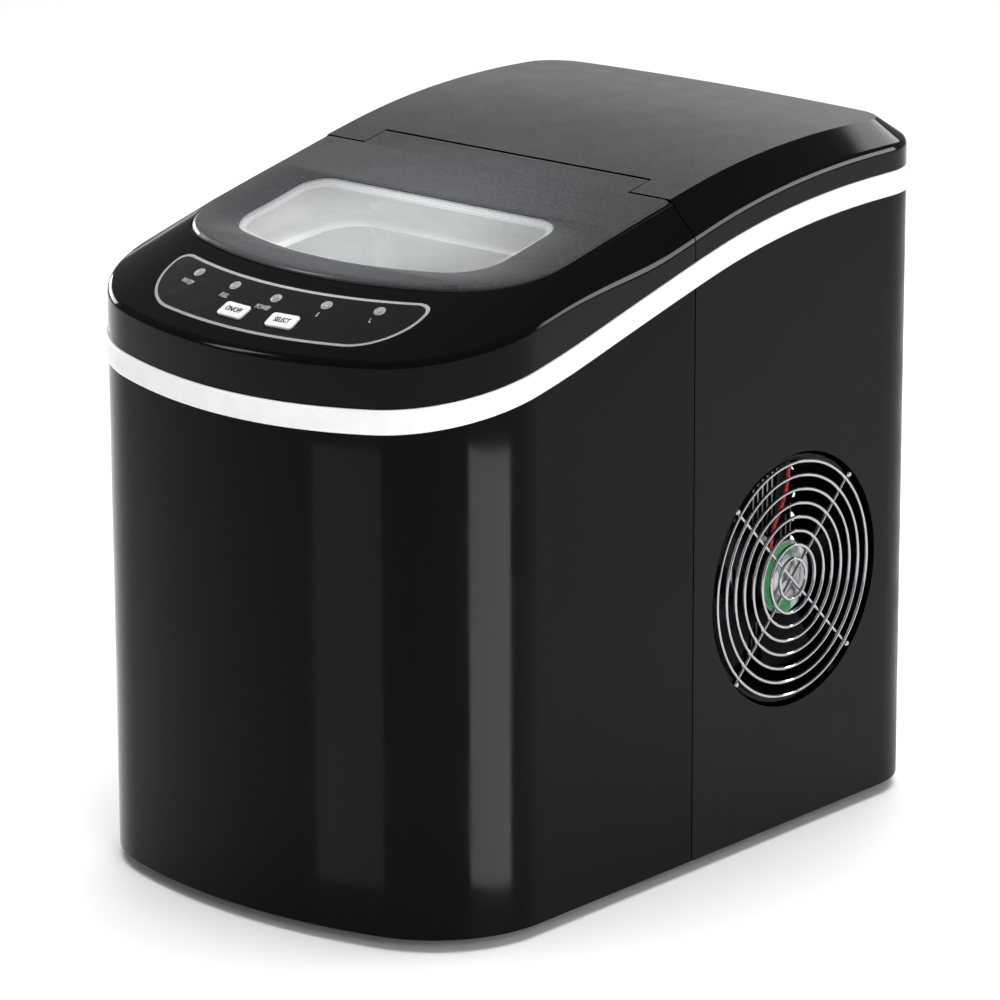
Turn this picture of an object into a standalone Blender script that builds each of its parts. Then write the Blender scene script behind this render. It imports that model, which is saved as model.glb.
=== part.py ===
"""Countertop bullet-ice maker, built as separate pieces in metres, +Z up.

The front faces -Y and the fan side faces +X.  The origin is on the floor under
the middle of the trim band.  Every piece is one closed solid in its own object.
Pieces that move hang from an empty on their joint's axis.
"""
import bpy
import bmesh
from math import atan2, ceil, cos, pi, radians, sin, sqrt
from mathutils import Matrix, Vector

# ---------------------------------------------------------------- sizes
GAP = 0.0003              # clearance between pieces that touch
SEAM = 0.0006             # visible joint between two covers

BODY_WIDTH = 0.238
BODY_DEPTH = 0.354
HEIGHT = 0.330            # floor to the highest point of the rear cover
FRONT_RADIUS = 0.262      # bulge of the front, in plan
FRONT_CORNER = 0.061
REAR_CORNER = 0.033
WALL = 0.0022
SPLIT_Y = 0.0             # front and rear covers meet here
FOOT_HEIGHT = 0.0065
FOOT_RADIUS = 0.011
FOOT_INSET_X = 0.030
FOOT_INSET_Y = 0.058
SHELL_BOTTOM = 0.006

BAND_HEIGHT = 0.0115
BAND_PROUD = 0.0015
FASCIA_REAR = 0.0113      # upright strip above the band
FASCIA_FRONT = 0.0200

# Side profiles as (y, drop below HEIGHT, slope) knots of a smooth curve.
BAND_CURVE = ((-0.177, 0.0957, 0.25), (-0.100, 0.0781, 0.215),
              (-0.050, 0.0653, 0.266), (0.010, 0.0497, 0.25), (0.135, 0.0356, 0.0))
TOP_CURVE = ((-0.130, 0.0384, 0.12), (-0.085, 0.0324, 0.17), (-0.040, 0.0228, 0.212),
             (0.015, 0.0111, 0.20), (0.065, 0.0038, 0.09), (0.115, 0.0016, 0.0),
             (0.165, 0.0036, -0.08))
CROWN = 0.0016            # rise of the rear cover's middle over its sides

LID_SIDE_INSET = 0.015    # body side to lid side
LID_FRONT_INSET = 0.0475
LID_REAR_INSET = 0.014
LID_FRONT_RADIUS = 0.210
LID_CORNER = 0.045
LID_THICK = 0.0030
LID_STEP_FRONT = 0.0024   # how far the lid stands above the panel around it
LID_STEP_SIDE = 0.0008
LEDGE = 0.007             # shelf that the lid's rim rests on
SKIRT = 0.008
RIB = 0.0035
RIB_WALL = 0.0012
RIB_CLEARANCE = 0.0011    # room for the rib to swing out of the mouth

HINGE_Y = 0.0127
KNUCKLE = 0.0032          # radius of the lid's rounded rear edge
TONGUE_SIDE_INSET = 0.024
HINGE_GAP = 0.0029        # rear cover's edge behind the hinge axis
PIN_RADIUS = 0.0011
PIN_LENGTH = 0.018

WINDOW_SIDE_INSET = 0.028
WINDOW_FRONT_INSET = 0.0165
WINDOW_LENGTH = 0.075
WINDOW_CORNER = 0.024
WINDOW_REAR_CORNER = 0.014
WINDOW_REBATE = 0.002

PANEL_HALF_ANGLE = 1.0    # in stations of the front bulge, see Plan.point
PANEL_LOW = 0.20          # share of the sloped face, from its lower edge
PANEL_HIGH = 0.83
PANEL_THICK = 0.0010
BUTTON_WIDTH = 0.0150
BUTTON_DEPTH = 0.0086
BUTTON_PROUD = 0.0006
BUTTON_TRAVEL = 0.0008
BUTTON_STATIONS = (-0.19, 0.19)
BUTTON_SHARE = 0.403
LENS_RADIUS = 0.00275
LENS_STATIONS = (-0.715, -0.36, 0.0, 0.36, 0.715)
LENS_SHARE = 0.685
BOARD_DROP = 0.009        # control board below the sloped face
BOARD_WIDTH = 0.120
BOARD_DEPTH = 0.020
BOARD_THICK = 0.0016

TUB_REAR = 0.080
TANK_REAR = 0.0
TUB_DROP = 0.132          # evaporator shelf below HEIGHT
TANK_DROP = 0.268         # tank floor below HEIGHT
FOAM = 0.009
BASKET_CLEARANCE = 0.0025
BASKET_REAR = -0.013
BASKET_DROP = 0.046       # rim at y = 0 below HEIGHT
BASKET_FALL = 0.09        # slope of the rim towards the front
BASKET_FLOOR = 0.146      # basket's underside below HEIGHT
BASKET_WALL = 0.0018
BASKET_FLANGE = 0.015
BASKET_TAPER = 0.006
BASKET_MOUTH = 0.066      # half width of the opening that ice comes in through

TRAY_Y = 0.042
TRAY_DROP = 0.092         # tray axis below HEIGHT
TRAY_RADIUS = 0.031
TRAY_HALF = 0.066
TRAY_WALL = 0.002
TRAY_PIN = 0.003
FINGER_RADIUS = 0.0045
FINGER_PITCH = 0.030
FINGER_ROWS = 0.010       # rows sit this far either side of the tray axis
SHOVEL_HEIGHT = 0.040     # shovel axis above the tray axis
SHOVEL_CLEARANCE = 0.003
SIDE_PLATE_X = 0.077
SIDE_PLATE = 0.003

FAN_Z = 0.1244
FAN_OPENING = 0.0605
FAN_FRONT = 0.0139         # front edge of the fan opening
FAN_Y = FAN_FRONT + FAN_OPENING
GUARD_RADIUS = 0.0567
GUARD_RINGS = 8
GUARD_PITCH = 0.0066
GUARD_WIRE = 0.0018
FAN_RADIUS = 0.050
FAN_BLADES = 5
HUB_RADIUS = 0.014
MOTOR_RADIUS = 0.017
CONDENSER_SIZE = 0.112
CONDENSER_THICK = 0.022

COMPRESSOR_RADIUS = 0.050
COMPRESSOR_HEIGHT = 0.115
COMPRESSOR_X = -0.036
COMPRESSOR_Y = 0.092

# ---------------------------------------------------------------- scene
for old in list(bpy.data.objects):
    bpy.data.objects.remove(old, do_unlink=True)

COLLECTION = bpy.context.scene.collection


def material(name, colour, roughness, metallic=0.0, alpha=1.0):
    """A Principled material in one flat finish."""
    mat = bpy.data.materials.new(name)
    mat.use_nodes = True
    shader = mat.node_tree.nodes["Principled BSDF"]
    shader.inputs["Base Color"].default_value = (*colour, 1.0)
    shader.inputs["Roughness"].default_value = roughness
    shader.inputs["Metallic"].default_value = metallic
    shader.inputs["Alpha"].default_value = alpha
    return mat


GLOSS_BLACK = material("gloss_black_abs", (0.008, 0.008, 0.009), 0.12)
SATIN_BLACK = material("satin_black_abs", (0.014, 0.014, 0.015), 0.38)
CHARCOAL = material("charcoal_abs", (0.075, 0.076, 0.078), 0.5)
SILVER_TRIM = material("silver_trim", (0.80, 0.80, 0.80), 0.3)
CLEAR = material("clear_window", (0.85, 0.87, 0.87), 0.05, alpha=0.3)
KEY_GREY = material("key_grey", (0.62, 0.62, 0.62), 0.4)
LENS_GREY = material("lens_grey", (0.45, 0.45, 0.45), 0.25)
WHITE = material("white_liner", (0.78, 0.78, 0.77), 0.35)
BASKET_GREY = material("basket_grey", (0.60, 0.61, 0.62), 0.3)
FOAM_WHITE = material("foam_white", (0.85, 0.85, 0.83), 0.9)
RUBBER = material("rubber", (0.02, 0.02, 0.02), 0.8)
STEEL = material("steel", (0.55, 0.55, 0.56), 0.3, 1.0)
CHROME = material("chrome_wire", (0.8, 0.8, 0.8), 0.12, 1.0)
BLACK_STEEL = material("black_painted_steel", (0.01, 0.01, 0.01), 0.35)
ALUMINIUM = material("aluminium", (0.7, 0.7, 0.72), 0.4, 1.0)
NICKEL = material("nickel_plate", (0.66, 0.64, 0.60), 0.25, 1.0)
COPPER = material("copper", (0.72, 0.36, 0.22), 0.3, 1.0)
GREEN_BOARD = material("green_board", (0.02, 0.16, 0.06), 0.5)
SILICONE = material("clear_silicone", (0.75, 0.77, 0.78), 0.45)


# ---------------------------------------------------------------- outlines
class Plan:
    """Plan outline: bulged front, straight sides and rounded rear corners."""

    FRONT, CORNER, SIDE, REAR_SIDE, REAR_ARC, BACK = 6, 8, 6, 8, 4, 3

    def __init__(self, half, front, rear, front_radius, corner, rear_corner):
        self.half, self.front, self.rear = half, front, rear
        self.front_radius, self.corner, self.rear_corner = front_radius, corner, rear_corner
        self.centre_y = front + front_radius
        self.corner_x = half - corner
        reach = front_radius - corner
        self.corner_y = self.centre_y - sqrt(reach ** 2 - self.corner_x ** 2)
        self.blend = atan2(self.corner_y - self.centre_y, self.corner_x)

    def inset(self, distance, rear=None):
        """The same outline moved inwards; rear sets a rear edge of its own."""
        back = self.rear - distance if rear is None else rear
        return Plan(self.half - distance, self.front + distance, back,
                    self.front_radius - distance, self.corner - distance,
                    max(self.rear_corner - distance, 0.001))

    def point(self, station, end=SPLIT_Y):
        """Point at a station: 0 mid front, 1 start and 2 end of the corner, 3 at end."""
        side, place = (1 if station >= 0 else -1), abs(station)
        if place <= 1:
            turn = -pi / 2 + (self.blend + pi / 2) * place
            x = self.front_radius * cos(turn)
            y = self.centre_y + self.front_radius * sin(turn)
        elif place <= 2:
            turn = self.blend * (2 - place)
            x = self.corner_x + self.corner * cos(turn)
            y = self.corner_y + self.corner * sin(turn)
        else:
            x = self.half
            y = self.corner_y + (end - self.corner_y) * (place - 2)
        return side * x, y

    def front_path(self, end=SPLIT_Y):
        """From the left side at y = end, round the front, to the right side."""
        stations = [i / self.FRONT for i in range(self.FRONT + 1)]
        stations += [1 + i / self.CORNER for i in range(1, self.CORNER + 1)]
        stations += [2 + i / self.SIDE for i in range(1, self.SIDE + 1)]
        right = [self.point(s, end) for s in stations]
        return [(-x, y) for x, y in reversed(right[1:])] + right

    def rear_path(self, start=SPLIT_Y):
        """From the right side at y = start, round the back, to the left side."""
        turn_y = self.rear - self.rear_corner
        right = [(self.half, start + (turn_y - start) * i / self.REAR_SIDE)
                 for i in range(self.REAR_SIDE + 1)]
        for i in range(1, self.REAR_ARC + 1):
            turn = pi / 2 * i / self.REAR_ARC
            right.append((self.half - self.rear_corner * (1 - cos(turn)),
                          turn_y + self.rear_corner * sin(turn)))
        flat = self.half - self.rear_corner
        right += [(flat * (1 - i / self.BACK), self.rear) for i in range(1, self.BACK + 1)]
        return right + [(-x, y) for x, y in reversed(right[:-1])]

    def ring(self, middle):
        """The whole outline as a closed loop; middle splits the straight sides."""
        return self.front_path(middle) + self.rear_path(middle)[1:-1]


def curve(knots, y):
    """Height of a smooth side profile at y, straight beyond its end knots."""
    first, last = knots[0], knots[-1]
    if y <= first[0]:
        return HEIGHT - first[1] + first[2] * (y - first[0])
    for (y0, drop0, slope0), (y1, drop1, slope1) in zip(knots, knots[1:]):
        if y <= y1:
            span, t = y1 - y0, (y - y0) / (y1 - y0)
            return (HEIGHT - (2 * t ** 3 - 3 * t ** 2 + 1) * drop0
                    + (t ** 3 - 2 * t ** 2 + t) * span * slope0
                    - (3 * t ** 2 - 2 * t ** 3) * drop1
                    + (t ** 3 - t ** 2) * span * slope1)
    return HEIGHT - last[1] + last[2] * (y - last[0])


def smooth(t):
    """Eases from 0 to 1."""
    t = min(max(t, 0.0), 1.0)
    return t * t * (3 - 2 * t)


def band_z(y):
    """Lower edge of the trim band."""
    return curve(BAND_CURVE, y)


def fascia_z(y):
    """Upper edge of the upright strip above the band."""
    share = smooth((y + 0.095) / 0.080)
    return band_z(y) + BAND_HEIGHT + FASCIA_FRONT + (FASCIA_REAR - FASCIA_FRONT) * share


def lid_z(y):
    """Top of the lid and of the rear cover's sides."""
    return curve(TOP_CURVE, y)


def top_z(x, y):
    """Top of the rear cover, crowned towards its middle."""
    rise = CROWN * smooth((y - 0.03) / 0.08)
    return lid_z(y) + rise * (1 - (x / LID.half) ** 2)


def ledge_z(y):
    """Shelf under the lid's rim."""
    return lid_z(y) - LID_THICK - GAP


def lid_step(y):
    """Height of the lid's edge above the panel around it."""
    share = smooth((y + 0.120) / 0.050)
    return LID_STEP_FRONT + (LID_STEP_SIDE - LID_STEP_FRONT) * share


BODY = Plan(BODY_WIDTH / 2, -BODY_DEPTH / 2, BODY_DEPTH / 2,
            FRONT_RADIUS, FRONT_CORNER, REAR_CORNER)
LID = Plan(BODY.half - LID_SIDE_INSET, BODY.front + LID_FRONT_INSET,
           BODY.rear - LID_REAR_INSET, LID_FRONT_RADIUS, LID_CORNER,
           REAR_CORNER - LID_SIDE_INSET)
WINDOW = Plan(LID.half - WINDOW_SIDE_INSET, LID.front + WINDOW_FRONT_INSET,
              LID.front + WINDOW_FRONT_INSET + WINDOW_LENGTH,
              LID_FRONT_RADIUS - WINDOW_FRONT_INSET, WINDOW_CORNER, WINDOW_REAR_CORNER)
MOUTH = LID.inset(LEDGE, rear=TUB_REAR)
HINGE_Z = lid_z(HINGE_Y) - KNUCKLE
TONGUE_HALF = LID.half - TONGUE_SIDE_INSET
LID_MIDDLE = -0.060       # splits the sides of the lid's and the window's loops


# ---------------------------------------------------------------- makers
def empty(name, place):
    """A named pivot on a joint's axis."""
    pivot = bpy.data.objects.new(name, None)
    pivot.location = place
    COLLECTION.objects.link(pivot)
    return pivot


def finish(name, bm, look, pivot=None):
    """Cleans a mesh, makes it an object and hangs it from its pivot."""
    bmesh.ops.remove_doubles(bm, verts=bm.verts, dist=1e-6)
    bmesh.ops.dissolve_degenerate(bm, edges=bm.edges, dist=1e-7)
    bmesh.ops.recalc_face_normals(bm, faces=bm.faces)
    if pivot:
        bmesh.ops.translate(bm, verts=bm.verts, vec=-pivot.location)
    mesh = bpy.data.meshes.new(name)
    bm.to_mesh(mesh)
    bm.free()
    mesh.materials.append(look)
    mesh.shade_smooth()
    mesh.set_sharp_from_angle(angle=radians(35))
    obj = bpy.data.objects.new(name, mesh)
    COLLECTION.objects.link(obj)
    obj.parent = pivot
    return obj


def grid_faces(bm, rows, closed):
    """Quads between rows of vertices."""
    count = len(rows[0])
    for low, high in zip(rows, rows[1:]):
        for i in range(count if closed else count - 1):
            j = (i + 1) % count
            bm.faces.new((low[i], low[j], high[j], high[i]))


def shell(name, outer, inner, look, closed=False, folded=False, pivot=None):
    """A wall between two matching grids of points, closed along its rims.

    closed joins the ends of each row; folded leaves the last row without a rim,
    because its two halves meet there.
    """
    bm = bmesh.new()
    out = [[bm.verts.new(p) for p in row] for row in outer]
    inn = [[bm.verts.new(p) for p in row] for row in inner]
    grid_faces(bm, out, closed)
    grid_faces(bm, inn, closed)
    grid_faces(bm, [out[0], inn[0]], closed)
    if not folded:
        grid_faces(bm, [out[-1], inn[-1]], closed)
    if not closed:
        for side in (0, -1):
            grid_faces(bm, [[row[side] for row in out], [row[side] for row in inn]], False)
    return finish(name, bm, look, pivot)


def stack(name, rings, look, pivot=None, curved=False):
    """Closed rings joined in order, with the first and the last one filled.

    curved fills them with strips across the width, from a plan ring's left half to
    its right half, so that the filling bends with the ring.
    """
    bm = bmesh.new()
    rows = [[bm.verts.new(p) for p in ring] for ring in rings]
    grid_faces(bm, rows, True)
    for row in (rows[0], rows[-1]):
        if curved:
            front = min(range(len(row)), key=lambda i: row[i].co.y)
            pairs = [(row[front - i], row[(front + i) % len(row)])
                     for i in range(1, len(row) // 2)]
            bm.faces.new((row[front], *reversed(pairs[0])))
            for (a, b), (c, d) in zip(pairs, pairs[1:]):
                bm.faces.new((a, b, d, c))
            bm.faces.new((*pairs[-1], row[(front + len(row) // 2) % len(row)]))
        else:
            bm.faces.new(row)
    return finish(name, bm, look, pivot)


def torus(name, rings, look, pivot=None):
    """Closed rings joined in order, and the last one to the first."""
    bm = bmesh.new()
    rows = [[bm.verts.new(p) for p in ring] for ring in rings]
    grid_faces(bm, rows + [rows[0]], True)
    return finish(name, bm, look, pivot)


def level(path, z):
    """A plan path lifted to height z, a number or a function of y."""
    return [(x, y, z(y) if callable(z) else z) for x, y in path]


def block(name, low, high, look, bevel=0.0, pivot=None):
    """A box between two corners."""
    low, high = Vector(low), Vector(high)
    bm = bmesh.new()
    place = Matrix.Translation((low + high) / 2) @ Matrix.Diagonal((*(high - low), 1.0))
    bmesh.ops.create_cube(bm, size=1.0, matrix=place)
    if bevel:
        bmesh.ops.bevel(bm, geom=bm.edges, offset=bevel, offset_type="OFFSET", segments=2,
                        profile=0.5, affect="EDGES", clamp_overlap=True)
    return finish(name, bm, look, pivot)


def aim(axis):
    """Rotation that turns +Z to an axis."""
    return Vector((0, 0, 1)).rotation_difference(Vector(axis)).to_matrix().to_4x4()


def turned(name, profile, place, axis, look, steps=24, pivot=None):
    """A closed turned solid; profile is (radius, height) points along the axis."""
    bm = bmesh.new()
    verts = [bm.verts.new((r, 0, h)) for r, h in profile]
    edges = [bm.edges.new(pair) for pair in zip(verts, verts[1:])]
    if profile[0][0] > 0:
        edges.append(bm.edges.new((verts[-1], verts[0])))
    bmesh.ops.spin(bm, geom=verts + edges, cent=(0, 0, 0), axis=(0, 0, 1), dvec=(0, 0, 0),
                   angle=2 * pi, steps=steps, use_merge=True, use_duplicate=False)
    bmesh.ops.transform(bm, verts=bm.verts, matrix=Matrix.Translation(place) @ aim(axis))
    return finish(name, bm, look, pivot)


def rod(name, place, axis, radius, length, look, steps=16, pivot=None):
    """A plain round bar that starts at place."""
    return turned(name, [(0, 0), (radius, 0), (radius, length), (0, length)],
                  place, axis, look, steps, pivot)


def tube(name, points, radius, look):
    """A bent round tube on a smooth curve through its points."""
    data = bpy.data.curves.new(name, "CURVE")
    data.dimensions = "3D"
    data.bevel_depth = radius
    data.bevel_resolution = 2
    data.use_fill_caps = True
    knots = [Vector(p) for p in points]
    knots = [2 * knots[0] - knots[1]] + knots + [2 * knots[-1] - knots[-2]]
    path = []
    for a, b, c, d in zip(knots, knots[1:], knots[2:], knots[3:]):
        steps = max(2, ceil((c - b).length / (5 * radius)))
        for i in range(steps):
            t = i / steps
            path.append(0.5 * (2 * b + (c - a) * t + (2 * a - 5 * b + 4 * c - d) * t ** 2
                               + (3 * b - a - 3 * c + d) * t ** 3))
    path.append(knots[-2])
    spline = data.splines.new("POLY")
    spline.points.add(len(path) - 1)
    for spot, place in zip(spline.points, path):
        spot.co = (*place, 1.0)
    data.materials.append(look)
    obj = bpy.data.objects.new(name, data)
    COLLECTION.objects.link(obj)
    return obj


def combine(target, tools, operation="DIFFERENCE"):
    """Cuts the tools out of the target, or joins them to it."""
    for tool in tools:
        tool.hide_render = True
        tool.display_type = "WIRE"
        tool.parent = target.parent
        step = target.modifiers.new(tool.name, "BOOLEAN")
        step.operation = operation
        step.solver = "EXACT"
        step.object = tool
    return target


# ---------------------------------------------------------------- base
def make_base():
    """Base pan and its four feet."""
    rim = BODY.inset(WALL + 0.0005)
    floor = rim.inset(0.0015)
    pan_z = FOOT_HEIGHT + GAP
    stack("base_pan", [level(rim.ring(SPLIT_Y), pan_z), level(rim.ring(SPLIT_Y), pan_z + 0.012),
                       level(floor.ring(SPLIT_Y), pan_z + 0.012),
                       level(floor.ring(SPLIT_Y), pan_z + 0.002)], STEEL)
    foot_x = BODY.half - FOOT_INSET_X
    foot_y = BODY.rear - FOOT_INSET_Y
    for name, x, y in (("front_left", -foot_x, -foot_y), ("front_right", foot_x, -foot_y),
                       ("rear_left", -foot_x, foot_y), ("rear_right", foot_x, foot_y)):
        turned("foot_" + name, [(0, 0), (FOOT_RADIUS - 0.002, 0), (FOOT_RADIUS, 0.0015),
                                (FOOT_RADIUS, FOOT_HEIGHT), (0, FOOT_HEIGHT)],
               (x, y, 0), (0, 0, 1), RUBBER, steps=20)
    return pan_z + 0.002


# ---------------------------------------------------------------- shells
def make_shells():
    """Front and rear body shells with the rear one's openings."""
    inner = BODY.inset(WALL)

    def wall(path_of, end, name, look):
        def rows(plan):
            path = path_of(plan, end)
            return [level(path, SHELL_BOTTOM), level(path, lambda y: band_z(y) - GAP / 2)]
        return shell(name, rows(BODY), rows(inner), look)

    wall(Plan.front_path, SPLIT_Y - SEAM / 2, "front_shell", GLOSS_BLACK)
    rear = wall(Plan.rear_path, SPLIT_Y + SEAM / 2, "rear_shell", SATIN_BLACK)
    cuts = [rod("fan_opening_cut", (inner.half - 0.004, FAN_Y, FAN_Z), (1, 0, 0),
                FAN_OPENING, 0.012, SATIN_BLACK, 36)]
    for i in range(LOUVRES):
        z = LOUVRE_Z + i * LOUVRE_PITCH
        cuts.append(block(f"side_louvre_cut_{i + 1}",
                          (-BODY.half - 0.003, FAN_Y - LOUVRE_LENGTH / 2, z),
                          (-inner.half + 0.003, FAN_Y + LOUVRE_LENGTH / 2, z + LOUVRE_SLOT),
                          SATIN_BLACK))
        cuts.append(block(f"rear_louvre_cut_{i + 1}",
                          (-LOUVRE_LENGTH / 2, inner.rear - 0.003, z + REAR_LOUVRE_LIFT),
                          (LOUVRE_LENGTH / 2, BODY.rear + 0.003,
                           z + REAR_LOUVRE_LIFT + LOUVRE_SLOT), SATIN_BLACK))
    cuts.append(rod("gland_cut", (GLAND_X, inner.rear - 0.004, GLAND_Z), (0, 1, 0),
                    GLAND_RADIUS + GAP, 0.012, SATIN_BLACK))
    for i, (x, z) in enumerate(screw_places()):
        cuts.append(rod(f"screw_cut_{i + 1}", (x, inner.rear - 0.004, z), (0, 1, 0),
                        SCREW_RADIUS + GAP, 0.012, SATIN_BLACK, 12))
    combine(rear, cuts)
    front = bpy.data.objects["front_shell"]
    combine(front, [rod("drain_cut", (-BODY.half - 0.004, DRAIN_Y, DRAIN_Z), (1, 0, 0),
                        DRAIN_RADIUS + GAP, 0.012, GLOSS_BLACK, 20)])


LOUVRES = 9
LOUVRE_Z = 0.070
LOUVRE_PITCH = 0.012
LOUVRE_SLOT = 0.005
LOUVRE_LENGTH = 0.080
REAR_LOUVRE_LIFT = 0.020
GLAND_X = 0.070
GLAND_Z = 0.045
GLAND_RADIUS = 0.0075
SCREW_RADIUS = 0.0018
SCREW_HEAD = 0.0035
SCREW_INSET_X = 0.045
SCREW_LOW_Z = 0.022
SCREW_HIGH_DROP = 0.052
DRAIN_Y = -0.060
DRAIN_Z = 0.030
DRAIN_RADIUS = 0.008
DRAIN_CAP = 0.011


def screw_places():
    """Rear screws: two low and two high."""
    x = BODY.half - SCREW_INSET_X
    return [(sx * x, z) for z in (SCREW_LOW_Z, HEIGHT - SCREW_HIGH_DROP) for sx in (-1, 1)]


def make_fittings():
    """Screws, cord gland and drain plug, all on the outside of the shells."""
    for i, (x, z) in enumerate(screw_places()):
        seat = BODY.rear + GAP
        turned(f"cover_screw_{i + 1}",
               [(0, -0.010), (SCREW_RADIUS, -0.010), (SCREW_RADIUS, 0), (SCREW_HEAD, 0),
                (SCREW_HEAD, 0.0004), (0.0022, 0.0010), (0, 0.0011)],
               (x, seat, z), (0, 1, 0), STEEL, steps=16)
    turned("cord_gland", [(0.0038, -0.008), (GLAND_RADIUS, -0.008), (GLAND_RADIUS, GAP),
                          (GLAND_RADIUS + 0.0025, GAP), (GLAND_RADIUS + 0.0025, 0.0010),
                          (GLAND_RADIUS, BAND_PROUD), (0.0038, BAND_PROUD)],
           (GLAND_X, BODY.rear, GLAND_Z), (0, 1, 0), RUBBER, steps=20)
    pivot = empty("drain_plug_slide", (-BODY.half, DRAIN_Y, DRAIN_Z))
    turned("drain_plug", [(0, -0.012), (DRAIN_RADIUS - 0.001, -0.012), (DRAIN_RADIUS, -0.010),
                          (DRAIN_RADIUS, GAP), (DRAIN_CAP, GAP), (DRAIN_CAP, 0.0010),
                          (DRAIN_CAP - 0.0006, BAND_PROUD), (0, BAND_PROUD)],
           (-BODY.half, DRAIN_Y, DRAIN_Z), (-1, 0, 0), RUBBER, steps=20, pivot=pivot)


def make_band():
    """The trim band round the whole body."""
    proud, inner = BODY.inset(-BAND_PROUD), BODY.inset(WALL)
    edge = BODY.inset(-BAND_PROUD + 0.0008)
    heights = (GAP / 2, 0.0010, BAND_HEIGHT - 0.0010, BAND_HEIGHT - GAP / 2)

    def row(plan, lift):
        return level(plan.ring(SPLIT_Y), lambda y: band_z(y) + lift)
    outer = [row(plan, lift) for plan, lift in zip((edge, proud, proud, edge), heights)]
    shell("trim_band", outer, [row(inner, lift) for lift in heights], SILVER_TRIM, closed=True)


def sloped_face(station, share, lift=0.0):
    """Point on the sloped face round the lid: share 0 at the fascia, 1 at the lid."""
    x0, y0 = BODY.point(station)
    x1, y1 = LID.inset(-SEAM).point(station)
    low = Vector((x0, y0, fascia_z(y0)))
    high = Vector((x1, y1, lid_z(y1) - lid_step(y1)))
    spot = low.lerp(high, share)
    return spot + face_normal(station, share) * lift if lift else spot


def face_normal(station, share):
    """Outward direction of the sloped face."""
    step = 0.01
    along = sloped_face(station + step, share) - sloped_face(station - step, share)
    up = sloped_face(station, share + step) - sloped_face(station, share - step)
    return along.cross(up).normalized()


def face_frame(station, share):
    """Place and turn of a piece that sits square on the sloped face."""
    normal = face_normal(station, share)
    along = sloped_face(station + 0.01, share) - sloped_face(station - 0.01, share)
    along = (along - normal * along.dot(normal)).normalized()
    turn = Matrix((along, normal.cross(along), normal)).transposed().to_4x4()
    return Matrix.Translation(sloped_face(station, share)) @ turn


def panel_grid(grow, lift):
    """Grid over the control panel's crescent, grown outwards and lifted."""
    columns, rows = 25, 5
    width = 0.055         # length of the sloped face at the front
    grid = []
    for r in range(rows):
        line = []
        for c in range(columns):
            t = -1 + 2 * c / (columns - 1)
            station = t * (PANEL_HALF_ANGLE + grow / 0.0755)
            lower = PANEL_LOW + 0.40 * max(0.0, abs(t) - 0.62) ** 2 / 0.1444
            upper = PANEL_HIGH - 0.06 * max(0.0, abs(t) - 0.90) ** 2 / 0.01
            lower, upper = lower - grow / width, upper + grow / width
            share = lower + (upper - lower) * r / (rows - 1)
            line.append(sloped_face(station, share, lift))
        grid.append(line)
    return grid


def make_front_frame():
    """Fascia, sloped face and lid ledge in one moulding, with the panel's pocket."""
    end = SPLIT_Y - SEAM / 2
    lip, mouth = LID.inset(-SEAM), MOUTH

    def rows(body, lip, mouth, sink):
        def lip_z(y):
            if not sink:
                return lid_z(y) - lid_step(y)
            return ledge_z(y) - sink - 0.0014 * smooth((y + 0.120) / 0.050)
        ends = (lip_z if sink else ledge_z, lambda y: ledge_z(y) - sink)
        return [level(body.front_path(end), lambda y: band_z(y) + BAND_HEIGHT + GAP / 2),
                level(body.front_path(end), lambda y: fascia_z(y) - 0.45 * sink),
                level(lip.front_path(end), lip_z),
                level(lip.front_path(end), ends[0]),
                level(mouth.front_path(end), ends[1]),
                level(mouth.front_path(end), lambda y: ledge_z(y) - SKIRT)]
    frame = shell("front_frame", rows(BODY, lip, mouth, 0),
                  rows(BODY.inset(WALL), lip.inset(-WALL), mouth.inset(-WALL), WALL), GLOSS_BLACK)
    pocket = shell("panel_pocket_cut", panel_grid(0.00025, 0.003),
                   panel_grid(0.00025, -PANEL_THICK - GAP), GLOSS_BLACK)
    combine(frame, [pocket] + key_cuts("frame"))


def rounded_key(name, station, grow, low, high, look, pivot=None):
    """A rounded rectangle block square to the sloped face."""
    frame = face_frame(station, BUTTON_SHARE)
    corner = 0.0015
    half_w, half_d = BUTTON_WIDTH / 2 + grow, BUTTON_DEPTH / 2 + grow
    loop = []
    for sx, sy, first in ((1, 1, 0), (-1, 1, 1), (-1, -1, 2), (1, -1, 3)):
        for i in range(4):
            turn = pi / 2 * (first + i / 3)
            loop.append((sx * (half_w - corner) + corner * cos(turn),
                         sy * (half_d - corner) + corner * sin(turn)))
    rings = [[frame @ Vector((x, y, z)) for x, y in loop] for z in (low, high)]
    return stack(name, rings, look, pivot)


def key_cuts(owner):
    """Cutters for the two keys and five lenses."""
    tools = [rounded_key(f"{owner}_key_cut_{i + 1}", station, 0.0003, -0.008, 0.004, KEY_GREY)
             for i, station in enumerate(BUTTON_STATIONS)]
    for i, station in enumerate(LENS_STATIONS):
        spot = sloped_face(station, LENS_SHARE, -0.008)
        tools.append(rod(f"{owner}_lens_cut_{i + 1}", spot, face_normal(station, LENS_SHARE),
                         LENS_RADIUS + GAP, 0.012, LENS_GREY, 16))
    return tools


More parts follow.
